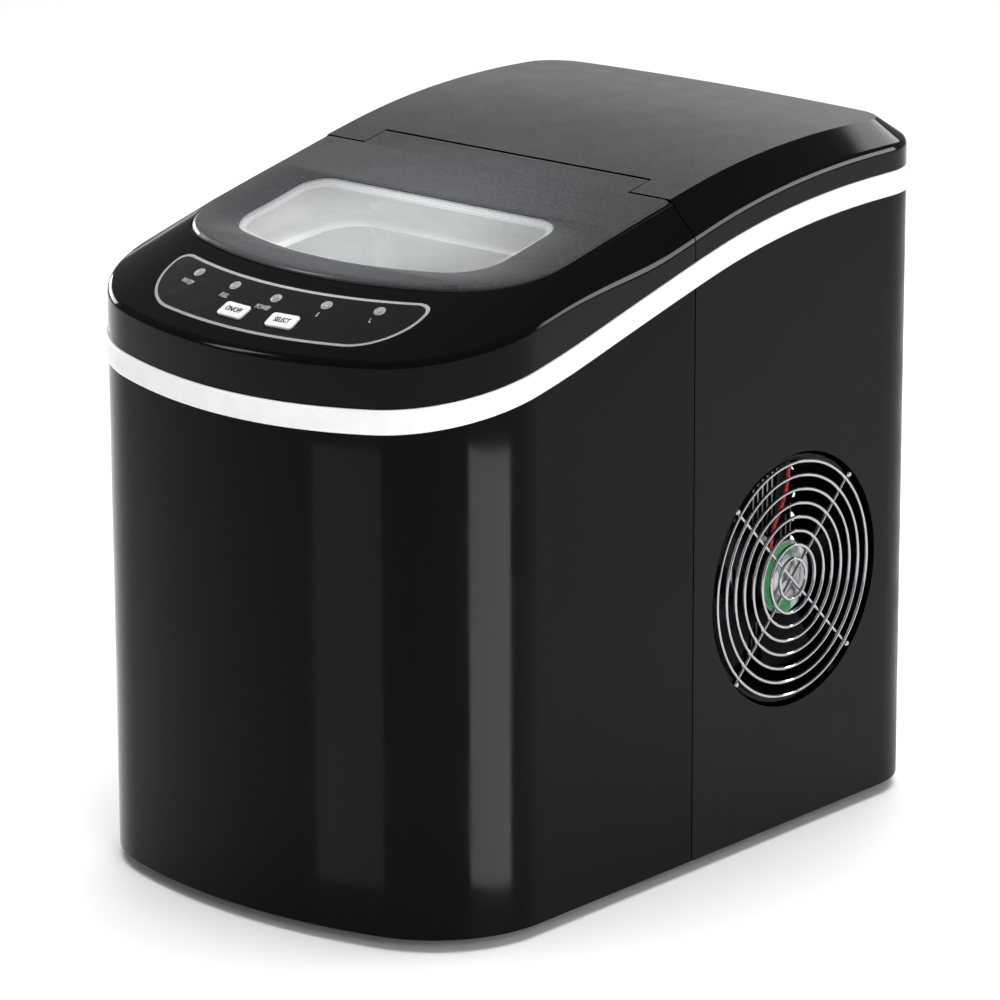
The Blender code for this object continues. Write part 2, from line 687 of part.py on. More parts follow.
def make_controls():
    """Control panel overlay, two keys, five lenses and the board under them."""
    overlay = shell("control_panel", panel_grid(0, 0), panel_grid(0, -PANEL_THICK), GLOSS_BLACK)
    combine(overlay, key_cuts("panel"))
    board_top = -BOARD_DROP
    for name, station in zip(("power_button", "select_button"), BUTTON_STATIONS):
        pivot = empty(name + "_slide", sloped_face(station, BUTTON_SHARE))
        cap = rounded_key(name, station, 0, -0.0030, BUTTON_PROUD, KEY_GREY, pivot)
        frame = face_frame(station, BUTTON_SHARE)
        stem = rod(name + "_stem", frame @ Vector((0, 0, -0.0074)), frame.to_3x3().col[2],
                   0.0018, 0.0060, KEY_GREY, 12, pivot)
        combine(cap, [stem], "UNION")
    for i, station in enumerate(LENS_STATIONS):
        rod(f"status_lens_{i + 1}", sloped_face(station, LENS_SHARE, -0.0050),
            face_normal(station, LENS_SHARE), LENS_RADIUS, 0.0050 + 0.0002, LENS_GREY)
    middle = face_frame(0, (BUTTON_SHARE + LENS_SHARE) / 2)
    half_w, half_d = BOARD_WIDTH / 2, BOARD_DEPTH / 2
    corners = [(-half_w, -half_d), (half_w, -half_d), (half_w, half_d), (-half_w, half_d)]
    stack("control_board", [[middle @ Vector((x, y, z)) for x, y in corners]
                            for z in (board_top - BOARD_THICK, board_top)], GREEN_BOARD)


# ---------------------------------------------------------------- top
def make_rear_cover():
    """Rear top cover with two ears that carry the lid's hinge pins."""
    start = SPLIT_Y + SEAM / 2
    core = LID.rear - 0.060

    def rows(body, top, sink):
        path = top.rear_path(start)
        grid = [level(body.rear_path(start), lambda y: band_z(y) + BAND_HEIGHT + GAP / 2),
                level(body.rear_path(start), lambda y: fascia_z(y) - 0.3 * sink)]
        for share in (0, 0.12, 0.4, 0.7, 1.0):
            line = [(x * (1 - share), y + (min(y, core) - y) * share) for x, y in path]
            grid.append([(x, y, top_z(x, y) - sink) for x, y in line])
        return grid
    cover = shell("rear_top_cover", rows(BODY, LID, 0), rows(BODY.inset(WALL), LID.inset(0.0008), WALL),
                  GLOSS_BLACK, folded=True)
    joins, cuts = [], []
    recess = TONGUE_HALF + SEAM
    cuts.append(block("tongue_recess_cut", (-recess, start - 0.010, HINGE_Z - 0.020),
                      (recess, HINGE_Y + HINGE_GAP, HINGE_Z + 0.030), GLOSS_BLACK))
    cuts.append(rod("knuckle_clearance_cut", (-recess, HINGE_Y, HINGE_Z), (1, 0, 0),
                    KNUCKLE + GAP, 2 * recess, GLOSS_BLACK, 24))
    for side, label in ((-1, "left"), (1, "right")):
        x0, x1 = sorted((side * (recess + 0.0002), side * (recess + 0.010)))
        joins.append(block(f"ear_boss_{label}", (x0, HINGE_Y - 0.005, HINGE_Z - 0.005),
                           (x1, HINGE_Y + 0.005, HINGE_Z + 0.0020), GLOSS_BLACK))
        cuts.append(rod(f"ear_bore_cut_{label}", (side * (recess - 0.002), HINGE_Y, HINGE_Z),
                        (side, 0, 0), PIN_RADIUS + GAP, 0.009, GLOSS_BLACK, 12))
        rod(f"hinge_pin_{label}", (side * (recess + 0.0065), HINGE_Y, HINGE_Z), (-side, 0, 0),
            PIN_RADIUS, PIN_LENGTH - 0.0035, STEEL, 12)
    combine(cover, joins, "UNION")
    combine(cover, cuts)


def lid_loop(inset):
    """The lid's outline with its rear tongue, matched point by point to the window's."""
    outline = LID.inset(inset, rear=SPLIT_Y - 0.0010)
    tongue, back = TONGUE_HALF - inset, HINGE_Y - 0.0006
    side = [(outline.half, LID_MIDDLE + (outline.rear - LID_MIDDLE) * i / Plan.REAR_SIDE)
            for i in range(Plan.REAR_SIDE + 1)]
    shoulder = [(outline.half + (tongue - outline.half) * i / 3, outline.rear)
                for i in range(1, 4)]
    rest = Plan.REAR_ARC - 3 + Plan.BACK
    edge = [(tongue * (1 - i / (rest - 1)), back) for i in range(rest)]
    right = side + shoulder + edge
    rear = right + [(-x, y) for x, y in reversed(right[:-1])]
    return outline.front_path(LID_MIDDLE) + rear[1:-1]


def make_lid():
    """Lid with its window, rounded rear knuckle, and inner rib."""
    pivot = empty("lid_hinge", (0, HINGE_Y, HINGE_Z))
    rebate = WINDOW.inset(-WINDOW_REBATE)
    half = LID_THICK * 0.45

    def drop(depth):
        return lambda y: lid_z(y) - depth
    lid = torus("lid", [level(lid_loop(0), drop(0)), level(WINDOW.ring(LID_MIDDLE - 0.02), drop(0)),
                        level(WINDOW.ring(LID_MIDDLE - 0.02), drop(half)),
                        level(rebate.ring(LID_MIDDLE - 0.02), drop(half)),
                        level(rebate.ring(LID_MIDDLE - 0.02), drop(LID_THICK)),
                        level(lid_loop(0), drop(LID_THICK))], CHARCOAL, pivot)
    knuckle = rod("lid_knuckle", (-TONGUE_HALF, HINGE_Y, HINGE_Z), (1, 0, 0),
                  KNUCKLE, 2 * TONGUE_HALF, CHARCOAL, 24, pivot)
    outside = LID.inset(LEDGE + RIB_CLEARANCE, rear=SPLIT_Y - 0.008)
    inside = outside.inset(RIB_WALL)
    rib = torus("lid_rib", [level(p.ring(LID_MIDDLE), drop(d)) for p, d in
                            ((outside, LID_THICK - 0.001), (outside, LID_THICK + RIB),
                             (inside, LID_THICK + RIB), (inside, LID_THICK - 0.001))],
                CHARCOAL, pivot)
    combine(lid, [rib, knuckle], "UNION")
    cuts = [rod(f"lid_bore_cut_{label}", (side * (TONGUE_HALF + 0.001), HINGE_Y, HINGE_Z),
                (-side, 0, 0), PIN_RADIUS + GAP, 0.010, CHARCOAL, 12, pivot)
            for side, label in ((-1, "left"), (1, "right"))]
    combine(lid, cuts)
    glass, flange = WINDOW.inset(GAP), rebate.inset(GAP)
    stack("lid_window", [level(p.ring(LID_MIDDLE - 0.02), drop(d)) for p, d in
                         ((glass, 0.0002), (glass, half + GAP), (flange, half + GAP),
                          (flange, LID_THICK))], CLEAR, pivot, curved=True)


# ---------------------------------------------------------------- ice side
def make_tub():
    """Inner tub with its water tank, and the foam round the tank."""
    def rim_z(y):
        return ledge_z(y) - SKIRT - GAP
    shelf_z, floor_z = HEIGHT - TUB_DROP, HEIGHT - TANK_DROP
    mouth = MOUTH
    tank = MOUTH.inset(0.0004, rear=TANK_REAR - WALL)
    tub_out, tank_out = mouth.inset(-WALL), tank.inset(-WALL, rear=TANK_REAR)
    middle = LID_MIDDLE
    stack("inner_tub", [level(tank_out.ring(middle), floor_z - WALL),
                        level(tank_out.ring(middle), shelf_z - WALL),
                        level(tub_out.ring(middle), shelf_z - WALL),
                        level(tub_out.ring(middle), rim_z), level(mouth.ring(middle), rim_z),
                        level(mouth.ring(middle), shelf_z), level(tank.ring(middle), shelf_z),
                        level(tank.ring(middle), floor_z)], WHITE)
    inside = tank_out.inset(-2 * GAP)
    outside = tank_out.inset(-FOAM)
    top = shelf_z - WALL - 2 * GAP
    base = floor_z - WALL - 2 * GAP
    stack("tub_insulation", [level(outside.ring(middle), base - FOAM),
                             level(outside.ring(middle), top), level(inside.ring(middle), top),
                             level(inside.ring(middle), base)], FOAM_WHITE)


def basket_plan():
    """The ice basket's wall under its flange."""
    reach = BASKET_CLEARANCE + BASKET_FLANGE
    return MOUTH.inset(reach, rear=BASKET_REAR)


def make_basket():
    """Ice basket that lifts out, with a broad rim and an opening towards the tray."""
    wall = basket_plan()
    wall.rear_corner = 0.018
    pivot = empty("basket_slide", (0, (wall.front + wall.rear) / 2, HEIGHT - BASKET_DROP))
    flange = wall.inset(-BASKET_FLANGE)
    foot, middle = wall.inset(BASKET_TAPER), -0.066
    base = HEIGHT - BASKET_FLOOR

    def rim(depth):
        return lambda y: HEIGHT - BASKET_DROP + BASKET_FALL * y - depth
    basket = stack("ice_basket", [level(foot.ring(middle), base), level(wall.ring(middle), rim(0.002)),
                                  level(flange.ring(middle), rim(0.002)),
                                  level(flange.ring(middle), rim(0)),
                                  level(wall.inset(BASKET_WALL).ring(middle), rim(0)),
                                  level(foot.inset(BASKET_WALL).ring(middle), base + BASKET_WALL)],
                   BASKET_GREY, pivot)
    combine(basket, [block("basket_mouth_cut", (-BASKET_MOUTH, wall.rear - 0.014, base + 0.035),
                           (BASKET_MOUTH, wall.rear + 0.001, rim(0.005)(wall.rear)),
                           BASKET_GREY, pivot=pivot)])


def make_ice_works():
    """Evaporator, tilting tray with its motor, and the shovel in front of them."""
    axis_z = HEIGHT - TRAY_DROP
    axis = Vector((0, TRAY_Y, axis_z))
    plate_low, plate_high = 0.014, 0.018
    half = TRAY_HALF - 0.008
    evaporator = block("evaporator", axis + Vector((-half, -0.016, plate_low)),
                       axis + Vector((half, 0.016, plate_high)), NICKEL)
    fingers = []
    for row in (-1, 1):
        for i in range(4):
            x = (i - 1.5) * FINGER_PITCH
            profile = [(0, -0.034), (FINGER_RADIUS * 0.7, -0.0325), (FINGER_RADIUS, -0.029),
                       (FINGER_RADIUS, 0.002), (0, 0.002)]
            fingers.append(turned(f"finger_{len(fingers) + 1}", profile,
                                  axis + Vector((x, row * FINGER_ROWS, plate_low)),
                                  (0, 0, 1), NICKEL, steps=12))
    combine(evaporator, fingers, "UNION")
    hang_z = SHOVEL_HEIGHT
    rear = MOUTH.rear - GAP
    hanger = block("evaporator_bracket", axis + Vector((-0.030, -0.002, plate_high + GAP)),
                   axis + Vector((0.030, 0.002, hang_z)), STEEL)
    arm = block("bracket_arm", axis + Vector((-0.030, -0.002, hang_z - 0.003)),
                (0.030, rear, axis_z + hang_z + 0.0005), STEEL)
    combine(hanger, [arm], "UNION")

    pivot = empty("tray_axle", axis)
    steps = 18
    def half_disc(radius, rise):
        arc = [(radius * cos(pi + pi * i / steps), radius * sin(pi + pi * i / steps))
               for i in range(steps + 1)]
        return arc + [(radius, rise), (-radius, rise)] if rise else arc
    def prism(name, loop, x0, x1):
        rings = [[(x, TRAY_Y + y, axis_z + z) for y, z in loop] for x in (x0, x1)]
        return stack(name, rings, WHITE, pivot)
    inner = TRAY_RADIUS - TRAY_WALL
    tray = prism("water_tray", half_disc(TRAY_RADIUS, 0.0), -TRAY_HALF, TRAY_HALF)
    hollow = prism("tray_hollow_cut", half_disc(inner, 0.005),
                   -TRAY_HALF + TRAY_WALL, TRAY_HALF - TRAY_WALL)
    reach = SIDE_PLATE_X + SIDE_PLATE + 0.003
    pins = [rod(f"tray_pin_{label}", (side * (TRAY_HALF - 0.001), TRAY_Y, axis_z),
                (side, 0, 0), TRAY_PIN, reach - TRAY_HALF + 0.001, WHITE, 12, pivot)
            for side, label in ((-1, "left"), (1, "right"))]
    combine(tray, [hollow])
    combine(tray, pins, "UNION")

    shovel_y = TRAY_Y - TRAY_RADIUS - SHOVEL_CLEARANCE
    shovel_z = axis_z + SHOVEL_HEIGHT
    pivot = empty("shovel_axle", (0, shovel_y, shovel_z))
    blade = block("ice_shovel", (-TRAY_HALF + 0.004, shovel_y - 0.001, axis_z + 0.003),
                  (TRAY_HALF - 0.004, shovel_y + 0.001, shovel_z), BASKET_GREY, pivot=pivot)
    bar = rod("shovel_bar", (-SIDE_PLATE_X - SIDE_PLATE, shovel_y, shovel_z), (1, 0, 0),
              TRAY_PIN, 2 * (SIDE_PLATE_X + SIDE_PLATE), BASKET_GREY, 12, pivot)
    combine(blade, [bar], "UNION")
    combine(blade, [block(f"tooth_cut_{i + 1}",
                          ((i - 1.5) * FINGER_PITCH - 0.006, shovel_y - 0.004, axis_z),
                          ((i - 1.5) * FINGER_PITCH + 0.006, shovel_y + 0.004, axis_z + 0.016),
                          BASKET_GREY, pivot=pivot) for i in range(4)])

    for side, label in ((-1, "left"), (1, "right")):
        x0, x1 = sorted((side * SIDE_PLATE_X, side * (SIDE_PLATE_X + SIDE_PLATE)))
        plate = block(f"mechanism_side_{label}", (x0, shovel_y - 0.005, shelf_height() + GAP),
                      (x1, MOUTH.rear - GAP, shovel_z + 0.008), WHITE)
        bores = [rod(f"side_bore_{name}_{label}", (side * (SIDE_PLATE_X - 0.003), y, z),
                     (side, 0, 0), TRAY_PIN + GAP, SIDE_PLATE + 0.006, WHITE, 16)
                 for name, y, z in (("tray", TRAY_Y, axis_z), ("shovel", shovel_y, shovel_z))]
        combine(plate, bores)
    face = SIDE_PLATE_X + SIDE_PLATE + GAP
    motor = block("tray_motor", (face, TRAY_Y - 0.020, axis_z - 0.020),
                  (MOUTH.half - GAP, TRAY_Y + 0.020, axis_z + 0.020), STEEL)
    combine(motor, [rod("motor_bore_cut", (face - 0.001, TRAY_Y, axis_z), (1, 0, 0),
                        TRAY_PIN + GAP, 0.006, STEEL, 16)])
    for side, label in ((-1, "left"), (1, "right")):
        x0, x1 = sorted((side * (MOUTH.half - GAP), side * (MOUTH.half - 0.008)))
        block(f"ice_sensor_{label}", (x0, BASKET_REAR - 0.013, HEIGHT - BASKET_DROP - 0.020),
              (x1, BASKET_REAR - 0.001, HEIGHT - BASKET_DROP - 0.010), SATIN_BLACK)


def shelf_height():
    """Top of the shelf under the ice works."""
    return HEIGHT - TUB_DROP


# ---------------------------------------------------------------- machine side
def make_fan():
    """Wire guard, shroud, motor, rotor and condenser, from the side inwards."""
    wall_x = BODY.half - WALL
    guard_x = BODY.half - WALL / 2
    place = (guard_x - GUARD_WIRE / 2, FAN_Y, FAN_Z)

    def ring(name, radius, steps):
        half = GUARD_WIRE / 2
        profile = [(radius - half, 0), (radius + half, 0),
                   (radius + half, GUARD_WIRE), (radius - half, GUARD_WIRE)]
        return turned(name, profile, place, (1, 0, 0), CHROME, steps)
    guard = ring("fan_guard", GUARD_RADIUS, 32)
    wires = [ring(f"guard_ring_{i}", GUARD_RADIUS - i * GUARD_PITCH, 24)
             for i in range(1, GUARD_RINGS)]
    reach = FAN_OPENING - 0.001
    for i, turn in enumerate((pi / 4, 3 * pi / 4)):
        along = Vector((0, cos(turn), sin(turn)))
        middle = Vector((wall_x + GUARD_WIRE / 2, FAN_Y, FAN_Z))
        wires.append(rod(f"guard_bar_{i + 1}", middle - along * reach,
                         along, GUARD_WIRE / 2, 2 * reach, CHROME, 8))
    combine(guard, wires, "UNION")

    motor_x = wall_x - 0.032
    rotor_x = motor_x + 0.013
    shroud_r = FAN_OPENING - 0.004
    shroud = turned("fan_shroud", [(shroud_r, 0.0), (shroud_r + 0.0025, 0.0),
                                   (shroud_r + 0.0025, wall_x - motor_x - GAP),
                                   (shroud_r, wall_x - motor_x - GAP)],
                    (motor_x, FAN_Y, FAN_Z), (1, 0, 0), SATIN_BLACK, steps=32)
    collar = turned("motor_collar", [(MOTOR_RADIUS + GAP, 0.0005), (MOTOR_RADIUS + 0.003, 0.0005),
                                     (MOTOR_RADIUS + 0.003, 0.0055), (MOTOR_RADIUS + GAP, 0.0055)],
                    (motor_x, FAN_Y, FAN_Z), (1, 0, 0), SATIN_BLACK, steps=24)
    arms = []
    for i in range(3):
        turn = pi / 2 + i * 2 * pi / 3
        out, across = Vector((0, cos(turn), sin(turn))), Vector((0, -sin(turn), cos(turn)))
        centre = Vector((motor_x, FAN_Y, FAN_Z))
        loop = [centre + out * r + across * w for r, w in
                ((MOTOR_RADIUS + 0.0015, -0.003), (shroud_r + 0.001, -0.003),
                 (shroud_r + 0.001, 0.003), (MOTOR_RADIUS + 0.0015, 0.003))]
        arms.append(stack(f"shroud_arm_{i + 1}",
                          [[p + Vector((lift, 0, 0)) for p in loop] for lift in (0.001, 0.005)],
                          SATIN_BLACK))
    combine(shroud, [collar] + arms, "UNION")
    turned("fan_motor", [(0, -0.010), (MOTOR_RADIUS, -0.010), (MOTOR_RADIUS, 0.010),
                         (0.006, 0.010), (0.006, 0.012), (0, 0.012)],
           (motor_x, FAN_Y, FAN_Z), (1, 0, 0), STEEL, steps=24)

    pivot = empty("fan_axle", (rotor_x, FAN_Y, FAN_Z))
    hub = turned("fan_rotor", [(0, 0), (HUB_RADIUS, 0), (HUB_RADIUS, 0.010),
                               (HUB_RADIUS - 0.002, 0.012), (0, 0.012)],
                 (rotor_x, FAN_Y, FAN_Z), (1, 0, 0), ALUMINIUM, steps=24, pivot=pivot)
    blades = []
    for i in range(FAN_BLADES):
        turn = 2 * pi * i / FAN_BLADES
        rings = []
        for share in (0.0, 0.5, 1.0):
            radius = HUB_RADIUS - 0.002 + (FAN_RADIUS - HUB_RADIUS + 0.002) * share
            chord = radians(44 - 12 * share)
            ring_points = []
            for angle, depth in ((-chord / 2, 0.0015), (chord / 2, 0.0090),
                                 (chord / 2, 0.0105), (-chord / 2, 0.0030)):
                ring_points.append((rotor_x + depth, FAN_Y + radius * cos(turn + angle),
                                    FAN_Z + radius * sin(turn + angle)))
            rings.append(ring_points)
        blades.append(stack(f"blade_{i + 1}", rings, ALUMINIUM, pivot))
    combine(hub, blades, "UNION")

    condenser_x = motor_x - 0.012
    half = CONDENSER_SIZE / 2
    block("condenser", (condenser_x - CONDENSER_THICK, FAN_Y - half, FAN_Z - half),
          (condenser_x, FAN_Y + half, FAN_Z + half), ALUMINIUM)
    return condenser_x - CONDENSER_THICK


def make_cooling(floor_z, condenser_x):
    """Compressor on its mounts, pump, tubes and power board."""
    mount = 0.0085
    plate_z = floor_z + mount + 2 * GAP
    top = plate_z + COMPRESSOR_HEIGHT
    centre = Vector((COMPRESSOR_X, COMPRESSOR_Y, 0))
    radius = COMPRESSOR_RADIUS
    turned("compressor",
           [(0, plate_z), (radius + 0.006, plate_z), (radius + 0.006, plate_z + 0.003),
            (radius - 0.010, plate_z + 0.005), (radius - 0.001, plate_z + 0.020),
            (radius, plate_z + 0.055), (radius + 0.0015, plate_z + 0.056),
            (radius + 0.0015, plate_z + 0.060), (radius - 0.001, plate_z + 0.061),
            (radius - 0.004, top - 0.020), (radius * 0.62, top - 0.004), (0, top)],
           centre, (0, 0, 1), BLACK_STEEL, steps=28)
    for i in range(3):
        turn = pi / 2 + i * 2 * pi / 3
        spot = centre + Vector((cos(turn), sin(turn), 0)) * (radius - 0.004)
        turned(f"compressor_mount_{i + 1}",
               [(0, 0), (0.008, 0), (0.0065, mount / 2), (0.008, mount), (0, mount)],
               spot + Vector((0, 0, floor_z + GAP)), (0, 0, 1), RUBBER, steps=14)
    pump = Vector((-BODY.half + 0.030, TANK_REAR + FOAM + 0.024, floor_z + GAP))
    turned("water_pump", [(0, 0), (0.018, 0), (0.018, 0.028), (0.012, 0.032), (0.005, 0.033),
                          (0.005, 0.040), (0, 0.040)], pump, (0, 0, 1), SATIN_BLACK, steps=20)
    side_x = -(MOUTH.half + WALL)
    tray_z = HEIGHT - TRAY_DROP
    tube_x = (side_x - BODY.half + WALL) / 2
    tube("pump_tube", [pump + Vector((0, 0, 0.040 + 2 * GAP)), pump + Vector((0, 0, 0.046)),
                       pump + Vector((0, 0, 0.060)),
                       (tube_x, pump.y, tray_z - 0.090), (tube_x, pump.y, tray_z - 0.010),
                       (tube_x + 0.001, pump.y, tray_z + 0.004),
                       (side_x - 0.0045, pump.y, tray_z + 0.010),
                       (side_x - 3 * GAP, pump.y, tray_z + 0.010)], 0.0030, SILICONE)
    out = COMPRESSOR_X + radius
    low = plate_z + 0.040
    reach = condenser_x - 3 * GAP
    tube("discharge_tube", [(out + 0.0012, COMPRESSOR_Y, low), (out + 0.010, COMPRESSOR_Y, low),
                            (out + 0.022, COMPRESSOR_Y, FAN_Z - 0.030),
                            (reach - 0.010, COMPRESSOR_Y, FAN_Z - 0.012),
                            (reach - 0.004, COMPRESSOR_Y, FAN_Z - 0.012),
                            (reach, COMPRESSOR_Y, FAN_Z - 0.012)], 0.0025, COPPER)
    shelf_z = shelf_height() - WALL
    tube("suction_tube", [(COMPRESSOR_X, COMPRESSOR_Y, top + 2 * GAP),
                          (COMPRESSOR_X, COMPRESSOR_Y, top + 0.007),
                          (COMPRESSOR_X, COMPRESSOR_Y, top + 0.014),
                          (COMPRESSOR_X, TRAY_Y + 0.030, shelf_z - 0.020),
                          (COMPRESSOR_X, TRAY_Y + 0.028, shelf_z - GAP)], 0.0030, COPPER)
    board_y = BODY.rear - WALL - 0.012
    board = block("power_board", (-0.085, board_y, HEIGHT - 0.140),
                  (-0.015, board_y + BOARD_THICK, HEIGHT - 0.080), GREEN_BOARD)
    combine(board, [block("board_relay", (-0.075, board_y - 0.014, HEIGHT - 0.130),
                          (-0.055, board_y + 0.0005, HEIGHT - 0.112), SATIN_BLACK),
                    block("board_coil", (-0.045, board_y - 0.020, HEIGHT - 0.125),
                          (-0.023, board_y + 0.0005, HEIGHT - 0.100), SATIN_BLACK)], "UNION")


pan_floor = make_base()
make_shells()
make_fittings()
make_band()
make_front_frame()
make_controls()
make_rear_cover()
make_lid()
make_tub()
make_basket()
make_ice_works()
make_cooling(pan_floor, make_fan())
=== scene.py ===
"""Finished looks of the countertop ice maker, over its fixed CAD frame."""
import bpy
import bmesh
from math import asin, atan2, cos, degrees, pi, radians, sin, sqrt
from mathutils import Matrix, Vector


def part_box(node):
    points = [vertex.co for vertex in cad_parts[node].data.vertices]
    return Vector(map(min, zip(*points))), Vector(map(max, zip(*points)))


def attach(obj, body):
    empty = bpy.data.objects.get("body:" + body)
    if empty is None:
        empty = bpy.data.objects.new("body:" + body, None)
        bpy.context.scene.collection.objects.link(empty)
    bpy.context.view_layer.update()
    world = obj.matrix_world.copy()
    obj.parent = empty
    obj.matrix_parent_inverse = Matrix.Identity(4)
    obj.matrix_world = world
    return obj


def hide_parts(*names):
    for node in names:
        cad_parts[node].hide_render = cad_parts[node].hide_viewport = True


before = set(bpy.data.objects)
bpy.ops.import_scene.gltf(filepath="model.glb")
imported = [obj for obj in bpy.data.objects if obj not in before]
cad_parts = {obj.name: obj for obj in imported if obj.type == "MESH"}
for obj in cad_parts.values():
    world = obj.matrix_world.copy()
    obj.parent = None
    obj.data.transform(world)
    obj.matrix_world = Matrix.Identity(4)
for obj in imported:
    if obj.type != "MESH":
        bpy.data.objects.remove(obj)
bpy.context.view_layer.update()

# ---------------------------------------------------------------- sizes
MM = 0.001
SEAM = 0.6 * MM
GAP = 0.3 * MM
SKIN = 2.0 * MM           # wall of the moulded covers

shell_low, shell_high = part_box("front_shell")
rear_low, rear_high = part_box("rear_shell")
lid_low, lid_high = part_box("lid")
window_low, window_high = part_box("lid_window")
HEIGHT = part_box("rear_top_cover")[1][2]
HEIGHT = round(HEIGHT, 4)


class Plan:
    """Plan outline with a bulged front, straight sides and rounded corners."""

    FRONT, CORNER, SIDE, BACK_CORNER, BACK = 20, 16, 44, 10, 6

    def __init__(self, half, front, rear, bulge, corner, back_corner):
        self.half, self.front, self.rear = half, front, rear
        self.bulge, self.corner, self.back_corner = bulge, corner, back_corner
        self.centre_y = front + bulge
        self.corner_x = half - corner
        reach = bulge - corner
        self.corner_y = self.centre_y - sqrt(reach ** 2 - self.corner_x ** 2)
        self.meet = atan2(self.corner_y - self.centre_y, self.corner_x)

    def inset(self, distance):
        """The same outline moved inwards."""
        return Plan(self.half - distance, self.front + distance, self.rear - distance,
                    self.bulge - distance, self.corner - distance,
                    max(self.back_corner - distance, 1 * MM))

    def place(self, station):
        """Point on the front: station 0 in the middle, 1 and 2 the corner's two ends."""
        side, along = (1 if station >= 0 else -1), abs(station)
        if along <= 1:
            turn = -pi / 2 + (self.meet + pi / 2) * along
            return side * self.bulge * cos(turn), self.centre_y + self.bulge * sin(turn)
        turn = self.meet * (2 - along)
        return (side * (self.corner_x + self.corner * cos(turn)),
                self.corner_y + self.corner * sin(turn))


BODY = Plan(shell_high[0], shell_low[1], rear_high[1], 262 * MM, 61 * MM, 33 * MM)
LID = Plan(lid_high[0], lid_low[1], rear_high[1] - 14 * MM, 210 * MM, 45 * MM, 18 * MM)
MOUTH = LID.inset(7 * MM)
WINDOW = Plan(76 * MM, LID.front + 16.5 * MM, LID.front + 91.5 * MM,
              193.5 * MM, 24 * MM, 14 * MM)

BAND_HEIGHT = 11.5 * MM
BAND_PROUD = 1.5 * MM
LID_THICK = 3.0 * MM
HINGE_Y = 12.7 * MM
KNUCKLE = 3.2 * MM
TONGUE = LID.half - 24 * MM

# Side profiles as (y, drop below the highest point, slope) in millimetres.
BAND_CURVE = ((-177, 95.7, 0.25), (-100, 78.1, 0.215), (-50, 65.3, 0.266),
              (10, 49.7, 0.25), (135, 35.6, 0.0))
TOP_CURVE = ((-130, 38.4, 0.12), (-85, 32.4, 0.17), (-40, 22.8, 0.212),
             (15, 11.1, 0.20), (65, 3.8, 0.09), (115, 1.6, 0.0), (165, 3.6, -0.08))


def profile(knots, y):
    """Height on a smooth side profile, straight beyond its end knots."""
    y /= MM
    if y <= knots[0][0]:
        drop = knots[0][1] - knots[0][2] * (y - knots[0][0])
    elif y >= knots[-1][0]:
        drop = knots[-1][1] - knots[-1][2] * (y - knots[-1][0])
    else:
        for (y0, d0, s0), (y1, d1, s1) in zip(knots, knots[1:]):
            if y <= y1:
                break
        run, t = y1 - y0, (y - y0) / (y1 - y0)
        drop = ((2 * t ** 3 - 3 * t ** 2 + 1) * d0 - (t ** 3 - 2 * t ** 2 + t) * run * s0
                + (3 * t ** 2 - 2 * t ** 3) * d1 - (t ** 3 - t ** 2) * run * s1)
    return HEIGHT - drop * MM


def ease(t):
    """Eases from 0 to 1."""
    t = min(max(t, 0.0), 1.0)
    return t * t * (3 - 2 * t)


def band_z(y):
    """Lower edge of the band."""
    return profile(BAND_CURVE, y)


def fascia_z(y):
    """Upper edge of the upright strip above the band."""
    return band_z(y) + BAND_HEIGHT + (20.0 - 8.7 * ease((y + 0.095) / 0.080)) * MM


def lid_z(y):
    """Top of the lid."""
    return profile(TOP_CURVE, y)


def cover_z(x, y):
    """Top of the rear cover, crowned towards the middle."""
    return lid_z(y) + 1.6 * MM * ease((y - 0.03) / 0.08) * (1 - (x / LID.half) ** 2)


def step(y):
    """Height of the lid's edge over the panel around it."""
    return (2.4 - 1.6 * ease((y + 0.120) / 0.050)) * MM


# ---------------------------------------------------------------- making meshes
def trace(bm, plan, height):
    """Edges of an outline, spun and drawn out from one point, lifted to a height."""
    before = set(bm.edges)
    start = bm.verts.new((0, plan.front, 0))
    corner = (plan.corner_x, plan.corner_y, 0)
    back = (plan.half - plan.back_corner, plan.rear - plan.back_corner, 0)
    right = [start]

    def swing(centre, angle, steps):
        spun = bmesh.ops.spin(bm, geom=[right[-1]], cent=centre, axis=(0, 0, 1),
                              dvec=(0, 0, 0), angle=angle, steps=steps,
                              use_merge=False, use_duplicate=False)
        right.append(next(g for g in spun["geom_last"] if isinstance(g, bmesh.types.BMVert)))

    def draw(run, steps):
        for _ in range(steps):
            grown = bmesh.ops.extrude_vert_indiv(bm, verts=[right[-1]])["verts"]
            bmesh.ops.translate(bm, verts=grown, vec=Vector(run) / steps)
            right.append(grown[0])
    swing((0, plan.centre_y, 0), plan.meet + pi / 2, Plan.FRONT)
    swing(corner, -plan.meet, Plan.CORNER)
    draw((0, back[1] - plan.corner_y, 0), Plan.SIDE)
    swing(back, pi / 2, Plan.BACK_CORNER)
    draw((-back[0], 0, 0), Plan.BACK)
    half = [e for e in bm.edges if e not in before]
    verts = list({v for e in half for v in e.verts})
    twin = bmesh.ops.duplicate(bm, geom=verts + half)["geom"]
    twin_verts = [g for g in twin if isinstance(g, bmesh.types.BMVert)]
    bmesh.ops.scale(bm, verts=twin_verts, vec=(-1, 1, 1))
    bmesh.ops.remove_doubles(bm, verts=verts + twin_verts, dist=1e-6)
    edges = [e for e in bm.edges if e not in before]
    for vert in {v for e in edges for v in e.verts}:
        vert.co.z = height(vert.co.x, vert.co.y)
    return edges


def skin(*rings):
    """Outlines bridged in order; returns the mesh and each outline's edges."""
    bm = bmesh.new()
    loops = [trace(bm, plan, height) for plan, height in rings]
    for low, high in zip(loops, loops[1:]):
        bmesh.ops.bridge_loops(bm, edges=low + high)
    return bm, loops


